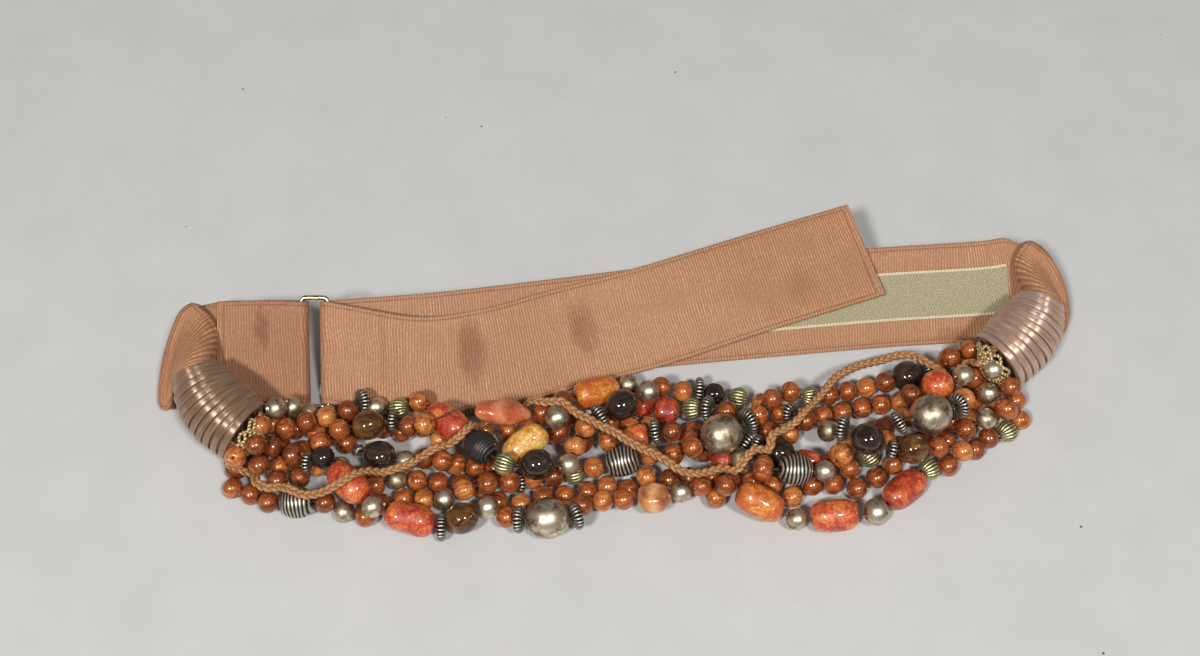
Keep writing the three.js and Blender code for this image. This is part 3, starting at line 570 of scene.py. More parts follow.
def satin_material(name, shade, middle, light):
    """Satin cord: fine fibres along the cord, and a long highlight across the turns."""
    s = Shader(
        name, Roughness=0.36, Anisotropic=0.9, Specular_IOR_Level=1.0, Sheen_Weight=0.1, Metallic=0.4,
    )
    cord = s.vector("cord")
    fibres = s.noise(cord, (0.1, 3.2, 1), 3, 0.6)
    patch = s.noise(cord, (0.05, 0.2, 1), 2)
    color = s.ramp(fibres, [(0.25, shade), (0.55, middle), (0.85, light)])
    color = s.mix(s.span(patch, 0.35, 0.75, 0, 0.3), color, shade)
    roughness = s.span(fibres, 0.3, 0.7, 0.31, 0.42)
    return s.out(color, roughness, s.bump(fibres, 0.35, 0.1), Tangent=s.vector("run"))


def gold_cord_material():
    """Fine twisted metallic cord."""
    s = Shader("gold_cord", Roughness=0.42, Metallic=0.3)
    cord = s.vector("cord")
    along, around, _ = s.parts(cord)
    ply = s.math("SINE", s.plus(s.times(along, 5.2), s.times(around, 2)))
    color = s.ramp(s.span(ply, -1, 1), [(0.0, (112, 84, 46)), (0.4, (196, 162, 104)), (1.0, (240, 216, 162))])
    return s.out(color, None, s.bump(ply, 0.7, 0.12))


def leather_material():
    """Braided leather lace: waxy tan, with painted shade at the lace edges where the laces meet."""
    s = Shader("leather_lace", Roughness=0.5, Specular_IOR_Level=0.45, Coat_Weight=0.35, Coat_Roughness=0.3)
    cord = s.vector("cord")
    _, around, _ = s.parts(cord)
    grain = s.noise(cord, (1.1, 1.6, 1), 4, 0.6)
    worn = s.noise(cord, (0.16, 0.5, 1), 2)
    color = s.ramp(grain, [(0.2, (116, 72, 38)), (0.5, (182, 128, 78)), (0.8, (226, 182, 130))])
    color = s.mix(s.span(worn, 0.4, 0.7, 0, 0.5), color, (150, 92, 48))
    # Painted shade: each lace is mixed towards dark brown at its edges, where it meets the next lace in the
    # braid.
    edge = s.math("ABSOLUTE", s.math("COSINE", around))
    color = s.mix(s.span(edge, 0.6, 1, 0, 0.9), color, (78, 44, 22))
    return s.out(color, s.span(grain, 0.3, 0.7, 0.42, 0.62), s.bump(grain, 0.4, 0.15))


def wood_material():
    """Varnished wood: streaks along the bead, fine pores, a tone of each bead's own, and a glossy coat."""
    s = Shader(
        "varnished_wood", Roughness=0.4, Specular_IOR_Level=1.0, Specular_Tint=(1.0, 0.6, 0.28, 1),
        Coat_Weight=1.0, Coat_Roughness=0.07,
    )
    own, tint = s.vector("own"), s.field("tint")
    streaks = s.noise(own, (0.55, 0.55, 0.1), 3, 0.6, 1.2)
    pores = s.noise(own, (2.6, 2.6, 0.5), 3, 0.6)
    tone = s.plus(streaks, s.span(tint, 0, 1, -0.17, 0.17))
    color = s.ramp(tone, [
        (0.25, (84, 34, 16)), (0.42, (134, 60, 26)), (0.56, (170, 88, 40)), (0.75, (214, 140, 74)),
    ])
    color = s.mix(s.span(pores, 0.52, 0.7, 0, 0.5), color, (92, 36, 18))
    return s.out(color, None, s.bump(pores, 0.15, 0.08))


def silver_material():
    """Antique plated silver with warm tarnish and fine scratches."""
    s = Shader("antique_silver", Metallic=0.95, Roughness=0.35)
    own = s.vector("own")
    cloud = s.noise(own, 0.22, 4, 0.62, 0.6)
    speck = s.noise(own, 1.4, 3, 0.6)
    color = s.ramp(cloud, [(0.36, (128, 108, 82)), (0.48, (206, 190, 162)), (0.64, (242, 230, 208))])
    color = s.mix(s.span(speck, 0.55, 0.72, 0, 0.65), color, (92, 78, 58))
    roughness = s.plus(s.span(cloud, 0.3, 0.7, 0.46, 0.28), s.span(speck, 0.4, 0.7, 0, 0.12))
    return s.out(color, roughness, s.bump(speck, 0.12, 0.1))


def relief_metal(name, deep, middle, crest, roughness):
    """Cast metal that is dark in its grooves and worn bright on its ridges."""
    s = Shader(name, Metallic=0.85, Roughness=roughness)
    own, relief = s.vector("own"), s.field("relief")
    wear = s.noise(own, 1.1, 3, 0.6)
    level = s.plus(relief, s.span(wear, 0.3, 0.7, -0.14, 0.1))
    color = s.ramp(level, [(0.3, deep), (0.6, middle), (0.95, crest)])
    return s.out(color, s.span(level, 0.2, 0.9, roughness + 0.25, roughness), s.bump(wear, 0.15, 0.1))


def resin_material(name, stops, fleck, fleck_share, vein):
    """Speckled resin: clouded colour with small flecks, crackle veins and a thick clear coat."""
    s = Shader(
        name, Roughness=0.45, Coat_Weight=1.0, Coat_Roughness=0.06, Subsurface_Weight=0.12,
        Subsurface_Radius=(1.0, 0.35, 0.15), Subsurface_Scale=0.0015,
    )
    own, tint = s.vector("own"), s.field("tint")
    cloud = s.noise(own, 0.2, 4, 0.62, 0.8)
    grit = s.noise(own, 1.7, 4, 0.72)
    crack = s.cells(own, 0.546, "DISTANCE_TO_EDGE")
    tone = s.plus(cloud, s.span(tint, 0, 1, -0.1, 0.1))
    color = s.ramp(tone, stops)
    color = s.mix(s.span(grit, 0.55, 0.66, 0, fleck_share), color, fleck)
    color = s.mix(s.span(crack, 0.0, 0.09, 0.7, 0), color, vein)
    return s.out(color, None, s.bump(grit, 0.25, 0.12))


def clear_material(name, body, streak, roughness, through):
    """Smoky or amber resin that lets some light through, with a paler streak inside."""
    s = Shader(
        name, Roughness=roughness, Transmission_Weight=through, IOR=1.5, Coat_Weight=0.6,
        Coat_Roughness=0.05,
    )
    own = s.vector("own")
    cloud = s.noise(own, (0.3, 0.3, 0.12), 3, 0.6, 1.0)
    color = s.ramp(cloud, [(0.4, body), (0.72, streak)])
    return s.out(color)


def stone_material(name, stops, vein):
    """Polished quartz-like stone with soft bands and pale inclusions."""
    s = Shader(
        name, Roughness=0.2, Coat_Weight=0.8, Coat_Roughness=0.08, Subsurface_Weight=0.35,
        Subsurface_Radius=(1.0, 0.5, 0.3), Subsurface_Scale=0.003,
    )
    own = s.vector("own")
    cloud = s.noise(own, 0.14, 4, 0.6, 1.2)
    band = s.waves(own, 0.06, 5.0, 3, "DIAGONAL")
    speck = s.noise(own, 0.9, 3, 0.6)
    color = s.ramp(s.plus(s.times(cloud, 0.7), s.times(band, 0.3)), stops)
    color = s.mix(s.span(speck, 0.6, 0.72, 0, 0.55), color, vein)
    return s.out(color, None, s.bump(speck, 0.08, 0.1))


def striped_material(name, dark, bright, metal):
    """A black bead with worn metallic lines, bright where the relief is high."""
    s = Shader(name, Roughness=0.4)
    own, relief = s.vector("own"), s.field("relief")
    wear = s.noise(own, 1.2, 3, 0.6)
    line = s.plus(relief, s.span(wear, 0.3, 0.7, -0.12, 0.12))
    mask = s.span(line, 0.5, 0.68)
    color = s.mix(mask, dark, bright)
    return s.out(color, None, s.bump(wear, 0.15, 0.1), Metallic=s.times(mask, metal))


def thread_material():
    """Dark waxed thread."""
    s = Shader("waxed_thread", Roughness=0.6)
    twist = s.noise(s.vector("cord"), (3, 1, 1), 2)
    color = s.ramp(twist, [(0.3, (48, 30, 20)), (0.7, (92, 62, 42))])
    return s.out(color, None, s.bump(twist, 0.4, 0.1))


def wire_material():
    """Pale brass wire, worn unevenly."""
    s = Shader("ring_wire", Metallic=1.0, Roughness=0.28)
    place = s.place()
    worn = s.noise(place, 420, 3, 0.6)
    color = s.ramp(worn, [(0.35, (178, 168, 132)), (0.7, (232, 224, 198))])
    return s.out(color, s.span(worn, 0.3, 0.7, 0.2, 0.38), s.bump(worn, 0.08, 0.05))


def floor_material():
    """A pale matt table top with a faint mottle and a few dark specks."""
    s = Shader("pale_table", Roughness=0.55, Specular_IOR_Level=0.3)
    place = s.place()
    mottle = s.noise(place, 28, 4, 0.6)
    fine = s.noise(place, 900, 2, 0.5)
    specks = s.cells(place, 55)
    kept = s.noise(place, 16, 0)
    color = s.ramp(mottle, [(0.3, (200, 200, 200)), (0.7, (207, 207, 206))])
    color = s.mix(s.span(fine, 0.3, 0.7, 0, 0.15), color, (182, 182, 184))
    dot = s.times(s.span(specks, 0.022, 0.034, 1, 0), s.span(kept, 0.52, 0.54))
    color = s.mix(dot, color, (96, 92, 90))
    return s.out(color, None, s.bump(fine, 0.05, 0.1))


# Straps and tape

EDGE_SHARES = np.array([0.5, 0.49, 0.468, 0.458, 0.448])
COLUMN_SHARES = np.concatenate([-EDGE_SHARES, np.linspace(-0.405, 0.405, 13), EDGE_SHARES[::-1]])
SEAM_INSET = 1.64
SEAM_WIDTH = 0.3
SEAM_DEPTH = 0.22
END_HEM = 2.6
EDGE_ROUND = 0.9
EDGE_GROOVE = 0.35
FLARE_OPENING = 1.9
PUCKER_HEIGHT = 0.3
PUCKER_PITCH = 5.5
PUCKER_REACH = 24
CURVE_STEPS = 40
# The tape starts at this share of the way from the run's second section to its first.
TAPE_START = 0.75


def line_across(section, length):
    """A section's points from its lower edge to its upper edge, straight or on an arc."""
    at, width, arc = section["at"], section["width"], section.get("arc", 0)
    if arc < 1e-3:
        return at + width * length * COLUMN_SHARES[:, None]
    radius = length / (2 * arc)
    turn = 2 * arc * COLUMN_SHARES[:, None]
    return at + width * radius * np.sin(turn) + section["face"] * radius * (np.cos(turn) - 1)


def stations_of(rows):
    named = [dict(zip(SECTION, row)) for row in rows]
    return [{"at": placed(row), "width": width_direction(row["lean"], row["sweep"])} for row in named]


def along_wrap(wrap, distance):
    """The place and direction at a distance from the mouth along a wrap's bent axis."""
    bend_radius = WRAP_LENGTH / WRAP_BEND
    angle = (distance / WRAP_LENGTH - 0.5) * WRAP_BEND
    at = wrap["centre"] + wrap["axis"] * bend_radius * math.sin(angle)
    at = at + wrap["turn"] * bend_radius * (1 - math.cos(angle))
    return at, wrap["axis"] * math.cos(angle) + wrap["turn"] * math.sin(angle)


def wrap_frame(row):
    h, p = math.radians(row["heading"]), math.radians(row["pitch"])
    axis = np.array([math.cos(p) * math.cos(h), math.cos(p) * math.sin(h), math.sin(p)])
    turn = np.cross(UP, axis) * -row["side"]
    return {"centre": placed(row), "axis": axis, "side": row["side"], "turn": turn}


FRAMES = {side: wrap_frame(row) for side, row in WRAPS.items()}
RING_WIDTH = width_direction(RING["lean"], RING["sweep"])
RING_FACE = unit(np.cross(ALONG, RING_WIDTH))
TURN_RADIUS = WIRE_DIAMETER / 2 + CLEARANCE + STRAP_THICKNESS / 2


def half_turn(centre, width, start, outward, radius):
    """Sections round a half circle about a centre, from its start side by way of outward."""
    angles = np.pi * np.arange(TURN_STEPS + 1) / TURN_STEPS
    return [
        {"at": centre + start * radius * math.cos(a) + outward * radius * math.sin(a), "width": width}
        for a in angles
    ]


def turn_round(direction):
    centre = placed(RING) - ALONG * direction * RING_BAR_SPACING / 2
    return half_turn(centre, RING_WIDTH, -RING_FACE, ALONG * direction, TURN_RADIUS)


def fold_back(side):
    row = FOLDS[side]
    width = width_direction(row["lean"], row["sweep"])
    outward = unit(np.cross(width, RING_FACE)) * -FRAMES[side]["side"]
    return half_turn(placed(row), width, square_to(width, RING_FACE), outward, FOLD_RADIUS)


def fold_pull(side):
    """How far each point across a fold moves along the fold's outward direction."""
    shape, share = FOLD_SHAPES[side], COLUMN_SHARES
    upper = np.clip((share - UPPER_CORNER_FROM) / (0.5 - UPPER_CORNER_FROM), 0, 1) ** 2
    lower = np.clip((-share - shape["lower_from"]) / (0.5 - shape["lower_from"]), 0, 1) ** 2
    return shape["swell"] * (1 - 4 * share ** 2) - shape["upper"] * upper - shape["lower"] * lower


ROLL_RADIUS = GATHER_WIDTH / (2 * ROLL_ANGLE)


def gathered(wrap):
    """The rolled end of a strap inside its wrap, from near the mouth to past the fabric end."""
    inner = MOUTH_BORE_DEPTH + CLEARANCE
    sections = []
    halfway = (MOUTH_BORE_DEPTH + WRAP_LENGTH) / 2
    for distance in (inner, halfway, WRAP_LENGTH, WRAP_LENGTH + ROLL_PAST):
        at, axis = along_wrap(wrap, distance)
        face = square_to(axis, RING_FACE)
        width = np.cross(axis, face) * wrap["side"]
        sections.append({
            "at": at + face * ROLL_RADIUS, "width": width, "face": face, "arc": ROLL_ANGLE, "axis": axis,
        })
    return sections


def flare(start, bend):
    """Sections where the gathered strap opens out, from its wrap to its fold."""
    to = bend[0]
    face = square_to(to["width"], RING_FACE)
    arriving = unit(bend[1]["at"] - to["at"])
    sections = []
    for s in np.arange(1, FLARE_STEPS + 1) / (FLARE_STEPS + 1):
        width = unit(start["width"] + (to["width"] - start["width"]) * (1 - (1 - s) ** 2))
        at = start["at"] + (to["at"] - start["at"]) * s * s * (3 - 2 * s)
        at = at + start["axis"] * FLARE_REACH * s * (1 - s) ** 2
        sections.append({
            "at": at - arriving * FLARE_ARRIVAL * s * s * (1 - s), "width": width,
            "face": square_to(width, start["face"] + (face - start["face"]) * s),
            "arc": ROLL_ANGLE * (1 - s) ** FLARE_OPENING,
            "length": GATHER_WIDTH + (FOLD_WIDTH - GATHER_WIDTH) * s, "share": s,
        })
    return sections


def strap_keys(side, stations):
    """A whole strap's rows of points on its middle surface, at its sections."""
    roll, bend = gathered(FRAMES[side]), fold_back(side)
    outward = unit(bend[TURN_STEPS // 2]["at"] - placed(FOLDS[side]))
    pull = fold_pull(side)[:, None] * outward
    rows = [line_across(section, GATHER_WIDTH) for section in roll]
    for section in flare(roll[-1], bend):
        rows.append(line_across(section, section["length"]) + pull * section["share"] ** 2)
    rows += [line_across(section, FOLD_WIDTH) + pull for section in bend]
    rows += [line_across(section, STRAP_WIDTH) for section in stations]
    return np.array(rows)


def ripple(run, across):
    """Slight unevenness of worn fabric, in millimetres."""
    slow = 0.22 * np.sin(run / 13.0 + 1.3) * np.cos(across / 16.0 + 0.4)
    return slow + 0.16 * np.sin(run / 5.7 + across / 9.0) * np.cos(run / 31.0)


def rib_drift(run, across):
    """How far the ribs wander along the strap, in millimetres."""
    drift = 0.5 * np.sin(across / 5.2 + run / 17.0) + 0.3 * np.sin(across / 2.9 - run / 11.0 + 0.8)
    return drift * np.cos(run / 37.0 + across / 25.0)


def creased(run, across, creases):
    """The height of soft creases, each (along, across, reach along, reach across, height)."""
    height = np.zeros(across.shape)
    for along, middle, reach_along, reach_across, top in creases:
        far = ((run - along) / reach_along) ** 2 + ((across - middle) / reach_across) ** 2
        height = height + top * np.exp(-far)
    return height


def round_the_ring(values):
    """Values across cloth, repeated round its section: front, one edge, rear, the other edge."""
    return np.concatenate([values, values[:, -1:], values[:, ::-1], values[:, :1]], axis=1).ravel()


def cloth_piece(name, keys, thickness, material, rib_depth=0.0, offset=0.0, wave=1.0, puckers=0.0,
                creases=(), seam_depth=0.0, hemmed_end=False):
    """Cloth through rows of points, with ribs across it, seams inside its edges and two fields:
    weave is the distance along and across and the rib's height, and edge the distance from an edge
    or from where the end is folded under."""
    rows, run = evenly(smooth_curve(keys, CURVE_STEPS), RIB_PITCH / RIB_STEPS)
    along = run[:, None]
    gaps = np.linalg.norm(np.diff(rows, axis=1), axis=2)
    across = np.concatenate([np.zeros((len(rows), 1)), np.cumsum(gaps, axis=1)], axis=1)
    across = across - across[:, -1:] / 2
    face = unit(np.cross(np.gradient(rows, axis=0), np.gradient(rows, axis=1)))
    drift = rib_drift(along, across) if rib_depth else 0
    rib = (0.5 + 0.5 * np.cos(2 * np.pi * (along + drift) / RIB_PITCH)) * np.ones(across.shape)
    inset = from_edge = across[:, -1:] - np.abs(across)
    if hemmed_end:
        inset = np.minimum(from_edge, np.abs(run[-1] - along - (END_HEM - SEAM_INSET)))
    seam = seam_depth * np.exp(-((inset - SEAM_INSET) / SEAM_WIDTH) ** 2)
    rounding = np.sqrt(1 - np.clip(1 - from_edge / EDGE_ROUND, 0, 0.9) ** 2)
    middle = rows + face * (offset + wave * ripple(along, across))[..., None]
    pucker = puckers * np.sin(2 * np.pi * across / PUCKER_PITCH) * np.clip(1 - along / PUCKER_REACH, 0, 1)
    middle = middle + face * (pucker + creased(along, across, creases))[..., None]
    half = thickness / 2 * rounding - rib_depth * (1 - rib) - seam
    front, rear = middle + face * half[..., None], middle - face * half[..., None]
    inward = unit(rows[:, 1] - rows[:, 0])
    low_edge, high_edge = middle[:, 0] + inward * EDGE_GROOVE, middle[:, -1] - inward * EDGE_GROOVE
    ring = np.concatenate([front, high_edge[:, None], rear[:, ::-1], low_edge[:, None]], axis=1)
    count, columns = ring.shape[1], rows.shape[1]
    faces = [tuple(f[::-1]) for f in grid_faces(len(rows), count)]
    for start, flip in ((0, 1), ((len(rows) - 1) * count, -1)):
        for k in range(columns - 1):
            a, b = start + k, start + 2 * columns - k
            faces.append((a, a + 1, b - 1, b)[::flip])
    weave = np.stack([np.repeat(run, count), round_the_ring(across), round_the_ring(rib)], axis=1)
    fields = {"weave": weave, "edge": round_the_ring(inset)}
    return mesh_object(name, ring.reshape(-1, 3), faces, material, fields)


# Stains, painted shade and creases by (along, across, reach along, reach across, strength or height), in
# millimetres on the strap from its rolled end.
# On the left strap the first patch is a stain. The two broad ones darken the inner layers as painted shade
# over soiling.
LEFT_STAINS_AND_SHADE = [(118, 9, 3.2, 9, 0.8), (112, 0, 26, 40, 0.32), (60, 0, 30, 40, 0.3)]
LONG_STAINS = [
    (44, 17, 4.5, 5, 0.75), (88, -17, 6, 4, 0.4), (391, 4, 5, 11, 0.6), (435, 2, 5, 10, 0.5),
    (431, -19, 6, 3, 0.5), (520, -6, 5, 7, 0.2),
]
LONG_CREASES = [
    (360, 0, 3.2, 18, 1.2), (391, 5, 4, 11, -1.0), (435, 3, 4, 10, -0.8), (470, -4, 9, 14, 0.5),
]


def make_straps():
    """The two straps, and the tape behind the long strap's inner run."""
    for node, side, inner, outer, stains_and_shade, creases in (
        ("left_strap", "left", LEFT_RUN, LEFT_RETURN, LEFT_STAINS_AND_SHADE, ()),
        ("long_strap", "right", LONG_RUN, TAIL, LONG_STAINS, LONG_CREASES),
    ):
        keys = strap_keys(side, stations_of(inner) + turn_round(WRAPS[side]["side"]) + stations_of(outer))
        cloth = cloth_piece(
            f"{node}_cloth", keys, STRAP_THICKNESS, strap_material(f"{node}_ribs", stains_and_shade), RIB_DEPTH,
            puckers=PUCKER_HEIGHT, creases=creases, seam_depth=SEAM_DEPTH, hemmed_end=True,
        )
        dressed(cloth, node)
    run = stations_of(LONG_RUN)
    first = {"at": run[0]["at"] * TAPE_START + run[1]["at"] * (1 - TAPE_START), "width": run[1]["width"]}
    keys = [line_across(station, TAPE_WIDTH) for station in [first, *run[1:-1]]]
    offset = -(STRAP_THICKNESS + TAPE_THICKNESS) / 2 - CLEARANCE
    tape = cloth_piece("backing_tape_cloth", keys, TAPE_THICKNESS, tape_material(), offset=offset, wave=0.0)
    dressed(tape, "backing_tape")


# Slide ring

WIRE_SIDES = 14


def make_ring():
    """The slide ring: one closed wire round a rectangle with rounded corners."""
    corner = WIRE_DIAMETER
    half_x, half_y = RING_BAR_SPACING / 2, STRAP_WIDTH / 2 + CLEARANCE + WIRE_DIAMETER / 2
    outline = []
    for sx, sy, start in ((1, -1, -90), (1, 1, 0), (-1, 1, 90), (-1, -1, 180)):
        for angle in np.radians(np.linspace(start, start + 90, 9)):
            outline.append((
                sx * (half_x - corner) + corner * math.cos(angle),
                sy * (half_y - corner) + corner * math.sin(angle),
            ))
    outline = np.array(outline)
    path = placed(RING) + ALONG * outline[:, :1] + RING_WIDTH * outline[:, 1:]
    points, faces, _, _ = tube(path, WIRE_DIAMETER / 2, WIRE_SIDES, RING_FACE, closed=True)
    dressed(mesh_object("slide_ring_wire", points, faces, wire_material()), "slide_ring")


# Cord wraps and knots

def wrap_radius(share):
    """The wrap's outer radius at a share of its length from the mouth."""
    middle = 0.42
    fall = np.where(share < middle, (middle - share) / middle, (share - middle) / (1 - middle))
    end = np.where(share < middle, WRAP_MOUTH_RADIUS, WRAP_FABRIC_RADIUS)
    return WRAP_MIDDLE_RADIUS - (WRAP_MIDDLE_RADIUS - end) * fall ** 2


def wrap_axes(wrap, distance):
    at, axis = along_wrap(wrap, distance)
    level = square_to(axis, UP)
    return at, axis, level, np.cross(axis, level)


TURN_SIDES = 72
TURN_LENGTH = 77
CORD_SIDES = 14
CORD_FLATNESS = 0.34
CORD_SQUARENESS = 0.62
ROLL_SIDES = 48
END_INSET = 0.4


def round_axis(level, sideways, angle):
    return level * np.cos(angle)[:, None] + sideways * np.sin(angle)[:, None]


def make_wrap(side, material):
    """Satin cord wound in close turns, and a plain roll under them."""
    wrap = FRAMES[side]
    pitch = WRAP_LENGTH / WRAP_TURNS
    cord_radius = pitch / 2
    pile = Pile()
    angle = round_angles(TURN_SIDES)
    for turn in range(WRAP_TURNS):
        at, axis, level, sideways = wrap_axes(wrap, pitch * (turn + 0.5))
        ring_radius = float(wrap_radius((turn + 0.5) / WRAP_TURNS)) - cord_radius * CORD_FLATNESS
        lean = 0.12 * np.sin(angle + 1.7 * turn) + 0.1 * np.sin(2 * angle + turn)
        swell = 0.12 * np.sin(3 * angle + 2.3 * turn)
        out = round_axis(level, sideways, angle)
        path = at + out * (ring_radius + swell)[:, None] + axis * lean[:, None]
        points, faces, _, around = tube(
            path, cord_radius, CORD_SIDES, out, CORD_FLATNESS, CORD_SQUARENESS, closed=True,
        )
        run = np.repeat(ring_radius * angle + turn * TURN_LENGTH, CORD_SIDES)
        cord = strand(run, np.cos(around) * cord_radius, turn * 3.1)
        pile.add(points, faces, cord=cord, run=np.tile(axis, (len(points), 1)))
    inner = ROLL_RADIUS + STRAP_THICKNESS / 2 + CLEARANCE
    bore = MOUTH_BORE_RADIUS - END_INSET
    end = WRAP_LENGTH - END_INSET
    profile = [(END_INSET, WRAP_MOUTH_RADIUS - cord_radius - 0.6)]
    for share in np.linspace(0.03, 0.97, 12):
        profile.append((WRAP_LENGTH * share, float(wrap_radius(share)) - cord_radius))
    profile += [(end, WRAP_FABRIC_RADIUS - cord_radius - END_INSET), (end, inner)]
    profile += [(MOUTH_BORE_DEPTH, inner), (MOUTH_BORE_DEPTH - 0.3, bore), (END_INSET, bore)]
    angle = round_angles(ROLL_SIDES)
    rings = []
    for distance, radius in profile:
        at, _, level, sideways = wrap_axes(wrap, distance)
        rings.append(at + radius * round_axis(level, sideways, angle))
    points = np.vstack(rings)
    cord = strand(np.tile(angle * 12, len(rings)), np.zeros(len(points)))
    faces = grid_faces(len(rings), ROLL_SIDES, closed=True)
    pile.add(points, faces, cord=cord, run=np.tile(wrap["turn"], (len(points), 1)))
    dressed(pile.build(f"{side}_wrap_cord", material), f"{side}_cord_wrap")


# The loops of gold cord swell out of a mouth forwards and up.
BULGE_RISE = math.radians(56)
BULGE_WAY = np.array([0, -math.cos(BULGE_RISE), math.sin(BULGE_RISE)])
MOUTH_BULGE = 7.5
BUNDLE_CORD_RADIUS = 0.52
LOOP_CORD_RADIUS = 0.62
GOLD_CORD_SIDES = 8


def make_knot(side, material, strands, loops, waves):
    """Fine gold cords: a bundle across the lower part of a mouth, and loops that fill the mouth."""
    at, axis, level, sideways = wrap_axes(FRAMES[side], 0)
    rise = KNOT_HEIGHT / 2 + CLEARANCE
    middle = at - axis * rise + level * (rise - WRAP_MOUTH_RADIUS)
    pile = Pile()
    s = np.linspace(-1, 1, 150)
    envelope = (1 - 0.72 * s ** 2) * (KNOT_HEIGHT / 2 - 0.45)
    for k in range(strands):
        turn = 2 * np.pi * k / strands + 1.6 * s + 0.55 * np.sin(waves * np.pi * s + 2.4 * k)
        reach = envelope * (0.86 + 0.14 * np.sin(waves * 1.3 * np.pi * s + 1.9 * k))
        path = middle + sideways * (s * KNOT_LENGTH / 2)[:, None]
        path = path + reach[:, None] * round_axis(level, axis, turn)
        points, faces, along, around = tube(path, BUNDLE_CORD_RADIUS, GOLD_CORD_SIDES)
        pile.add(points, faces, cord=strand(along, around, k))
    front = square_to(axis, BULGE_WAY)
    s = np.linspace(0, 1, 260)
    for k in range(loops):
        ring = 2.2 + 7.2 * (k + 0.5) / loops
        angle = 2 * np.pi * (1.05 * s + 0.31 * k)
        radius = ring + 0.75 * np.sin(9 * angle + 2.1 * k) + 0.4 * np.sin(4 * angle + k)
        depth = 0.6 + MOUTH_BULGE * (1 - (ring / 10) ** 2) + 0.7 * np.cos(9 * angle + 2.1 * k + 1.2)
        path = at + (front * 0.8 - axis) * depth[:, None]
        path = path + radius[:, None] * round_axis(level, sideways, angle)
        points, faces, along, around = tube(path, LOOP_CORD_RADIUS, GOLD_CORD_SIDES, -axis)
        pile.add(points, faces, cord=strand(along, around, 20 + k))
    dressed(pile.build(f"{side}_knot_cords", material), f"{side}_cord_knot")


# Strings

def node_corners(node):
    return np.array([v.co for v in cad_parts[node].data.vertices], float) / MM


def node_graph(node):
    """A node's merged corners in millimetres, and each one's neighbours."""
    merged, index = np.unique(np.round(node_corners(node), 3), axis=0, return_inverse=True)
    index = index.reshape(-1)
    neighbours = [set() for _ in merged]
    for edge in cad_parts[node].data.edges:
        a, b = (index[k] for k in edge.vertices)
        if a != b:
            neighbours[a].add(b)
            neighbours[b].add(a)
    return merged, neighbours


def layers_from(start, neighbours):
    """The corners in layers by their steps from a first layer."""
    seen, layers = set(start), [sorted(start)]
    while layers[-1]:
        onwards = {n for k in layers[-1] for n in neighbours[k]} - seen
        seen |= onwards
        layers.append(sorted(onwards))
    return layers[:-1]


def node_rings(node, sides):
    """The middles and radii of the rings that a string's solid was lofted through, left to right."""
    points, neighbours = node_graph(node)
    far = layers_from([0], neighbours)[-1][0]
    other = layers_from([far], neighbours)[-1][0]
    end = min((far, other), key=lambda k: points[k][0])
    near = np.argsort(np.linalg.norm(points - points[end], axis=1))[:sides]
    layers = layers_from([int(k) for k in near], neighbours)
    middles = np.array([points[layer].mean(0) for layer in layers])
    radii = np.array([
        np.linalg.norm(points[layer] - middle, axis=1).mean() for layer, middle in zip(layers, middles)
    ])
    return middles, radii


END_RINGS = 2
PLAIN_SIDES = 6
FRONT_SIDES = 10


def beads_of(name, order):
    """Each bead of a string in order: its kind, place and radius, read from the string's solid.
    There a main bead's seat has two rings, and so has each bead of the front string, with one
    more ring between two small beads. Another string's small bead has one."""
    plain = name != "front"
    middles, radii = node_rings(f"bead_string_{name}", PLAIN_SIDES if plain else FRONT_SIDES)
    beads, k = [], END_RINGS
    for i, kind in enumerate(order):
        rings = 2 if kind in MAIN_BEADS or not plain else 1
        share = PLAIN_SHARE if plain else (1 if kind in "Rr" else FRONT_SHARE)
        at, radius = middles[k:k + rings].mean(0), radii[k:k + rings].mean() / share
        beads.append({"kind": kind, "at": at, "radius": radius})
        k += rings
        if not plain and kind not in MAIN_BEADS and order[i + 1:i + 2] not in ("", *MAIN_BEADS):
            k += 1
    if k + END_RINGS != len(middles):
        raise ValueError(f"{name}: {len(middles)} rings, but its beads take {k + END_RINGS}")
    places = np.array([bead["at"] for bead in beads])
    for i, bead in enumerate(beads):
        bead["axis"] = unit(places[min(i + 1, len(beads) - 1)] - places[max(i - 1, 0)])
    return beads, middles


def superellipse(power, bore, steps):
    """Half an outline, as (share of half length, share of radius), from one bore to the other."""
    edge = math.acos(bore ** (power / 2))
    angles = np.linspace(-edge, edge, steps)
    length = np.sign(angles) * np.abs(np.sin(angles)) ** (2 / power)
    return np.stack([length / np.abs(length).max(), np.cos(angles) ** (2 / power)], axis=1)


def turned(power, bore=0.2, steps=15, sides=26, grooves=0, depth=0.0):
    """A bead of unit radius and half length round the z axis, with a dimpled bore. Grooves run
    from end to end. Returns points, faces, and the relief: 1 on a ridge and 0 in a groove."""
    outline = superellipse(power, bore, steps)
    outline = np.vstack([[-0.55, bore * 0.7], outline, [0.55, bore * 0.7]])
    angle = round_angles(sides)
    groove = np.zeros(sides)
    if grooves:
        groove = (1 - np.abs(np.cos(grooves * angle / 2))) ** 0.8
    rings = []
    for length, radius in outline:
        cut = radius * (1 - depth * groove * min(1, 1.4 * radius))
        rings.append(np.stack([cut * np.cos(angle), cut * np.sin(angle), np.full(sides, length)], axis=1))
    points = np.vstack(rings)
    faces = grid_faces(len(outline), sides)
    return points, faces, np.tile(1 - groove, len(outline))


def facing(axis):
    """Columns: two directions square to an axis, and the axis."""
    side = square_to(axis, UP)
    return np.stack([np.cross(side, axis), side, axis], axis=1)


def lumps(points, amount, seed):
    """Shares by which a hand-made bead's surface is uneven."""
    phase = seed * 1.7
    x, y, z = points.T
    wave = np.sin(2.3 * x + phase) + np.sin(2.9 * y + 1.3 * phase) + np.sin(2.1 * z + 0.7 * phase)
    wave = wave + 0.5 * np.sin(5.1 * x - 4.3 * z + phase)
    return 1 + amount * wave / 2


# Each bead's textures start at a place of its own, up to this far off.
OWN_SPREAD = 50


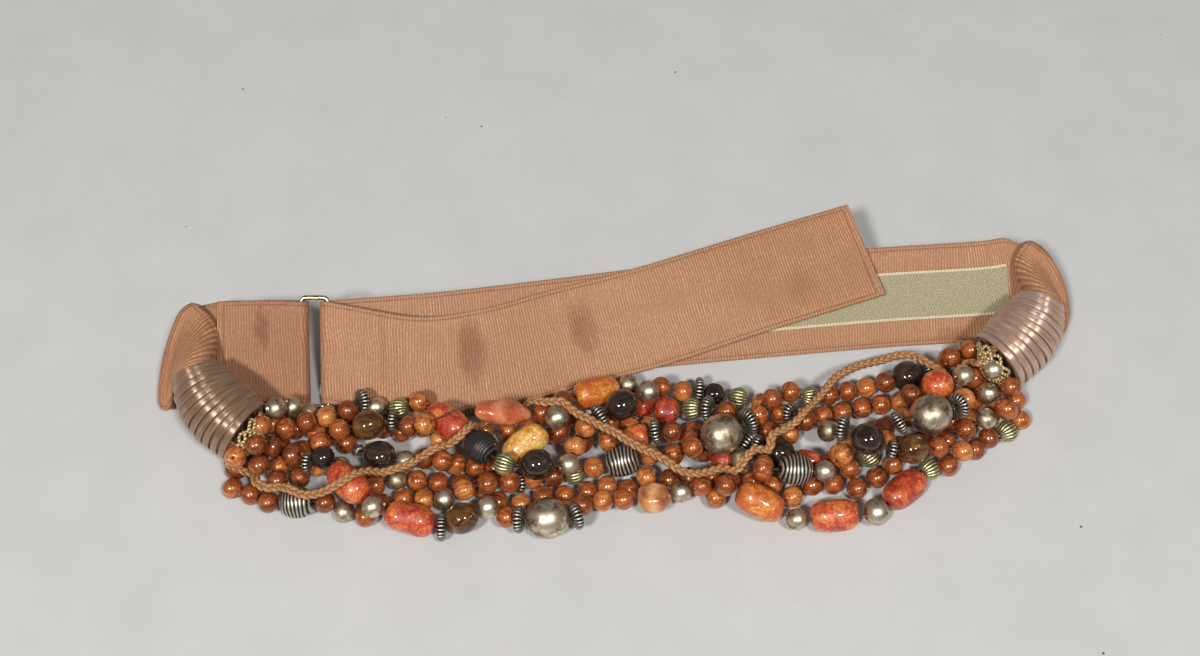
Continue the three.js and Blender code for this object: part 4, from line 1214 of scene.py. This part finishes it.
def add_bead(pile, template, bead, half):
    """Adds a turned bead to a pile, with its own turn, unevenness, tint and place in the textures."""
    points, faces, relief = template
    lump = LUMPS.get(bead["kind"], 0.0)
    seed = rng.random()
    spin = 2 * np.pi * rng.random()
    c, s = math.cos(spin), math.sin(spin)
    shaped = points * lumps(points, lump, 10 * seed)[:, None] if lump else points
    local = (shaped * [bead["radius"], bead["radius"], half]) @ np.array([[c, s, 0], [-s, c, 0], [0, 0, 1]])
    pile.add(
        bead["at"] + local @ facing(bead["axis"]).T, faces, relief=relief,
        own=local + OWN_SPREAD * rng.random(3), tint=np.full(len(local), rng.random()),
    )


THREAD_PITCH = 1.5
THREAD_STEPS = 6
THREAD_SIDES = 6


def make_small_beads(materials):
    """Each string's small beads, one piece for each kind, and its thread."""
    templates = {kind: turned(**form) for kind, (_, _, _, form) in SMALL_BEADS.items()}
    strings = {}
    for name, order in STRINGS.items():
        node = f"bead_string_{name}"
        beads, middles = beads_of(name, order)
        strings[name] = beads
        for kind, (word, slot, length, _) in SMALL_BEADS.items():
            chosen = [bead for bead in beads if bead["kind"] == kind]
            if not chosen:
                continue
            pile = Pile()
            for bead in chosen:
                bead["radius"] = max(bead["radius"], LEAST_RADII.get(kind, 0))
                add_bead(pile, templates[kind], bead, length / 2)
            dressed(pile.build(f"{name}_{word}", materials[kind]), node)
        stops = [*middles[:END_RINGS], *[bead["at"] for bead in beads], *middles[-END_RINGS:]]
        path, _ = evenly(smooth_curve(stops, THREAD_STEPS), THREAD_PITCH)
        points, faces, along, around = tube(path, THREAD_RADIUS, THREAD_SIDES)
        cord = {"cord": strand(along, around)}
        dressed(mesh_object(f"{name}_thread", points, faces, materials["thread"], cord), node)
    return strings


# Main beads

def striped(points, lines, wander, seed):
    """Relief of lines round a bead's axis that wander and fork a little."""
    angle = np.arctan2(points[:, 1], points[:, 0])
    bend = wander * (np.sin(2 * angle + seed) + 0.6 * np.sin(3 * angle + 4 * points[:, 2] + 2 * seed))
    return 0.5 + 0.5 * np.cos(2 * np.pi * (points[:, 2] * lines / 2 + bend))


# A stone's outline as shares of its length and width, and its levels as (depth, size).
STONE_OUTLINE = [
    (-0.98, 0.35), (-0.5, 0.95), (0.35, 1), (1, 0.45), (0.9, -0.5), (0.1, -0.9), (-0.8, -0.65),
]
STONE_LEVELS = [(-0.8, 0.72), (-0.3, 1), (0.3, 1), (0.8, 0.66)]
FACET_ROUNDING = 1.1


def chunk_mesh(name, bead, radius, length, material):
    """A polished stone with a flat table and softly rounded facets."""
    points = np.array([
        [wide * size * radius, long * size * length / 2, depth * radius * 0.8]
        for depth, size in STONE_LEVELS for long, wide in STONE_OUTLINE
    ])
    turn = np.array(Vector((0, 1, 0)).rotation_difference(Vector(bead["axis"])).to_matrix())
    count = len(STONE_OUTLINE)
    faces = [tuple(f) for f in grid_faces(len(STONE_LEVELS), count)]
    faces += [tuple(range(count))[::-1], tuple(range(len(points) - count, len(points)))]
    piece = mesh_object(name, points, faces, material)
    bevel = piece.modifiers.new("edges", "BEVEL")
    bevel.width, bevel.segments, bevel.limit_method = FACET_ROUNDING * MM, 4, "NONE"
    finer = piece.modifiers.new("finer", "SUBSURF")
    finer.subdivision_type, finer.levels, finer.render_levels = "SIMPLE", 1, 1
    shaped = bpy.data.meshes.new_from_object(piece.evaluated_get(bpy.context.evaluated_depsgraph_get()))
    piece.modifiers.clear()
    piece.data = shaped
    local = np.array([v.co for v in shaped.vertices], float) / MM
    world = bead["at"] + (local * lumps(local / radius, 0.03, len(name))[:, None]) @ turn.T
    shaped.vertices.foreach_set("co", (world * MM).ravel())
    layer = shaped.attributes.new("own", "FLOAT_VECTOR", "POINT")
    layer.data.foreach_set("vector", (local + OWN_SPREAD * rng.random(3)).astype(np.float32).ravel())
    shaped.polygons.foreach_set("use_smooth", [True] * len(shaped.polygons))
    shaped.update()
    return piece


def main_size(node, bead):
    """A main bead's radius and length, measured on its solid."""
    points = node_corners(node) - bead["at"]
    along = points @ bead["axis"]
    out = np.linalg.norm(points - along[:, None] * bead["axis"], axis=1)
    return out.max(), along.max() - along.min()


def make_main_beads(strings, materials):
    """The main beads, numbered by kind in the strings' order."""
    counts = {}
    for bead in (bead for beads in strings.values() for bead in beads if bead["kind"] in MAIN_BEADS):
        kind = bead["kind"]
        word, slot, form = MAIN_BEADS[kind]
        counts[kind] = counts.get(kind, 0) + 1
        node = f"{word}_{counts[kind]}"
        bead["at"] = node_middle(node)
        if kind in STONES:
            dressed(chunk_mesh(f"{node}_stone", bead, *form, materials[kind]), node)
            continue
        bead["radius"], length = main_size(node, bead)
        points, faces, relief = turned(*form)
        if kind in STRIPE_LINES:
            relief = striped(points, STRIPE_LINES[kind], STRIPE_WANDER, counts[kind])
            points = points * (1 + STRIPE_DEPTH * (relief - 1))[:, None]
        pile = Pile()
        add_bead(pile, (points, faces, relief), bead, length / 2)
        dressed(pile.build(f"{node}_bead", materials[kind]), node)


# Braided cord

BRAID_CYCLE = 8.4
LACE_RADIUS = 0.82
LACE_SWING = 1.02
LACE_LIFT = 0.5
LACE_PITCH = 0.4
LACE_FLATNESS = 0.6
LACE_SIDES = 10
LACES = 3
LEATHER_SIDES = 6


def make_leather(material):
    """A flat braid of three laces along the cord's own route."""
    middles, _ = node_rings("leather_cord", LEATHER_SIDES)
    path, run = evenly(smooth_curve(middles, 10), LACE_PITCH)
    tangent = unit(np.gradient(path, axis=0))
    normal = square_to_each(tangent, UP)
    side = np.cross(tangent, normal)
    pile = Pile()
    for k in range(LACES):
        phase = 2 * np.pi * (run / BRAID_CYCLE + k / LACES)
        lace = path + side * LACE_SWING * np.sin(phase)[:, None]
        lace = lace + normal * LACE_LIFT * np.sin(2 * phase)[:, None]
        points, faces, along, around = tube(lace, LACE_RADIUS, LACE_SIDES, normal, LACE_FLATNESS)
        pile.add(points, faces, cord=strand(along, around, 9 * k))
    dressed(pile.build("braided_leather_cord", material), "leather_cord")


# Assembly

make_camera()
bpy.context.scene.view_settings.view_transform = "Standard"
make_world((1.0, 0.99, 0.97), 0.16)
make_light("front_left_lamp", (-0.74, -1.33, 1.85), 35, LAMP_SIZE, (1.0, 0.98, 0.95))
make_light("front_right_lamp", (0.66, -1.1, 2.03), 27, LAMP_SIZE, (1.0, 0.98, 0.96))

corners = [(x * FLOOR_REACH, y * FLOOR_REACH, FLOOR_LEVEL) for x, y in ((-1, -1), (1, -1), (1, 1), (-1, 1))]
floor = mesh_object("floor", corners, [(0, 1, 2, 3)], floor_material(), flat_shaded=True)

wood, silver = wood_material(), silver_material()
red_resin = resin_material(
    "red_resin", [(0.37, (150, 38, 22)), (0.5, (200, 72, 38)), (0.64, (230, 132, 62))],
    (240, 170, 110), 0.55, (120, 26, 16),
)
yellow_resin = resin_material(
    "yellow_resin", [(0.37, (192, 84, 30)), (0.5, (222, 142, 46)), (0.63, (240, 200, 112))],
    (250, 214, 140), 0.5, (170, 70, 24),
)
marbled_resin = resin_material(
    "marbled_resin", [(0.38, (182, 58, 22)), (0.5, (222, 112, 46)), (0.62, (240, 180, 114))],
    (248, 206, 160), 0.4, (150, 40, 20),
)
black = (22, 19, 18)
bead_materials = {
    "W": wood, "S": silver, "M": silver, "B": silver,
    "d": clear_material("dark_resin", (30, 22, 20), (62, 46, 38), 0.12, 0.1),
    "L": red_resin, "K": red_resin, "Y": yellow_resin, "Q": marbled_resin,
    "O": relief_metal("olive_melon", (88, 82, 46), (186, 180, 128), (236, 232, 190), 0.3),
    "R": relief_metal("rondelle_silver", (16, 14, 13), (120, 114, 104), (222, 216, 204), 0.3),
    "D": clear_material("smoky_resin", (44, 30, 24), (96, 74, 58), 0.08, 0.45),
    "A": clear_material("amber_resin", (84, 48, 20), (176, 124, 66), 0.08, 0.5),
    "Z": striped_material("banded_black", black, (206, 196, 176), 0.8),
    "G": striped_material("grooved_black", black, (74, 70, 66), 0.3),
    "C": stone_material(
        "carnelian", [(0.3, (178, 84, 46)), (0.55, (208, 118, 76)), (0.75, (230, 158, 116))],
        (244, 198, 160),
    ),
    "T": stone_material(
        "agate", [(0.3, (150, 84, 52)), (0.5, (196, 134, 80)), (0.72, (226, 178, 128))],
        (240, 212, 176),
    ),
    "thread": thread_material(),
}
bead_materials["r"] = bead_materials["R"]

make_straps()
make_ring()
make_wrap("left", satin_material("taupe_satin", (108, 80, 60), (158, 124, 98), (218, 190, 164)))
make_wrap("right", satin_material("beige_satin", (142, 106, 88), (202, 168, 148), (240, 216, 198)))
gold = gold_cord_material()
make_knot("left", gold, 7, 7, 3.2)
make_knot("right", gold, 8, 7, 4.2)
bead_strings = make_small_beads(bead_materials)
make_main_beads(bead_strings, bead_materials)
make_leather(leather_material())
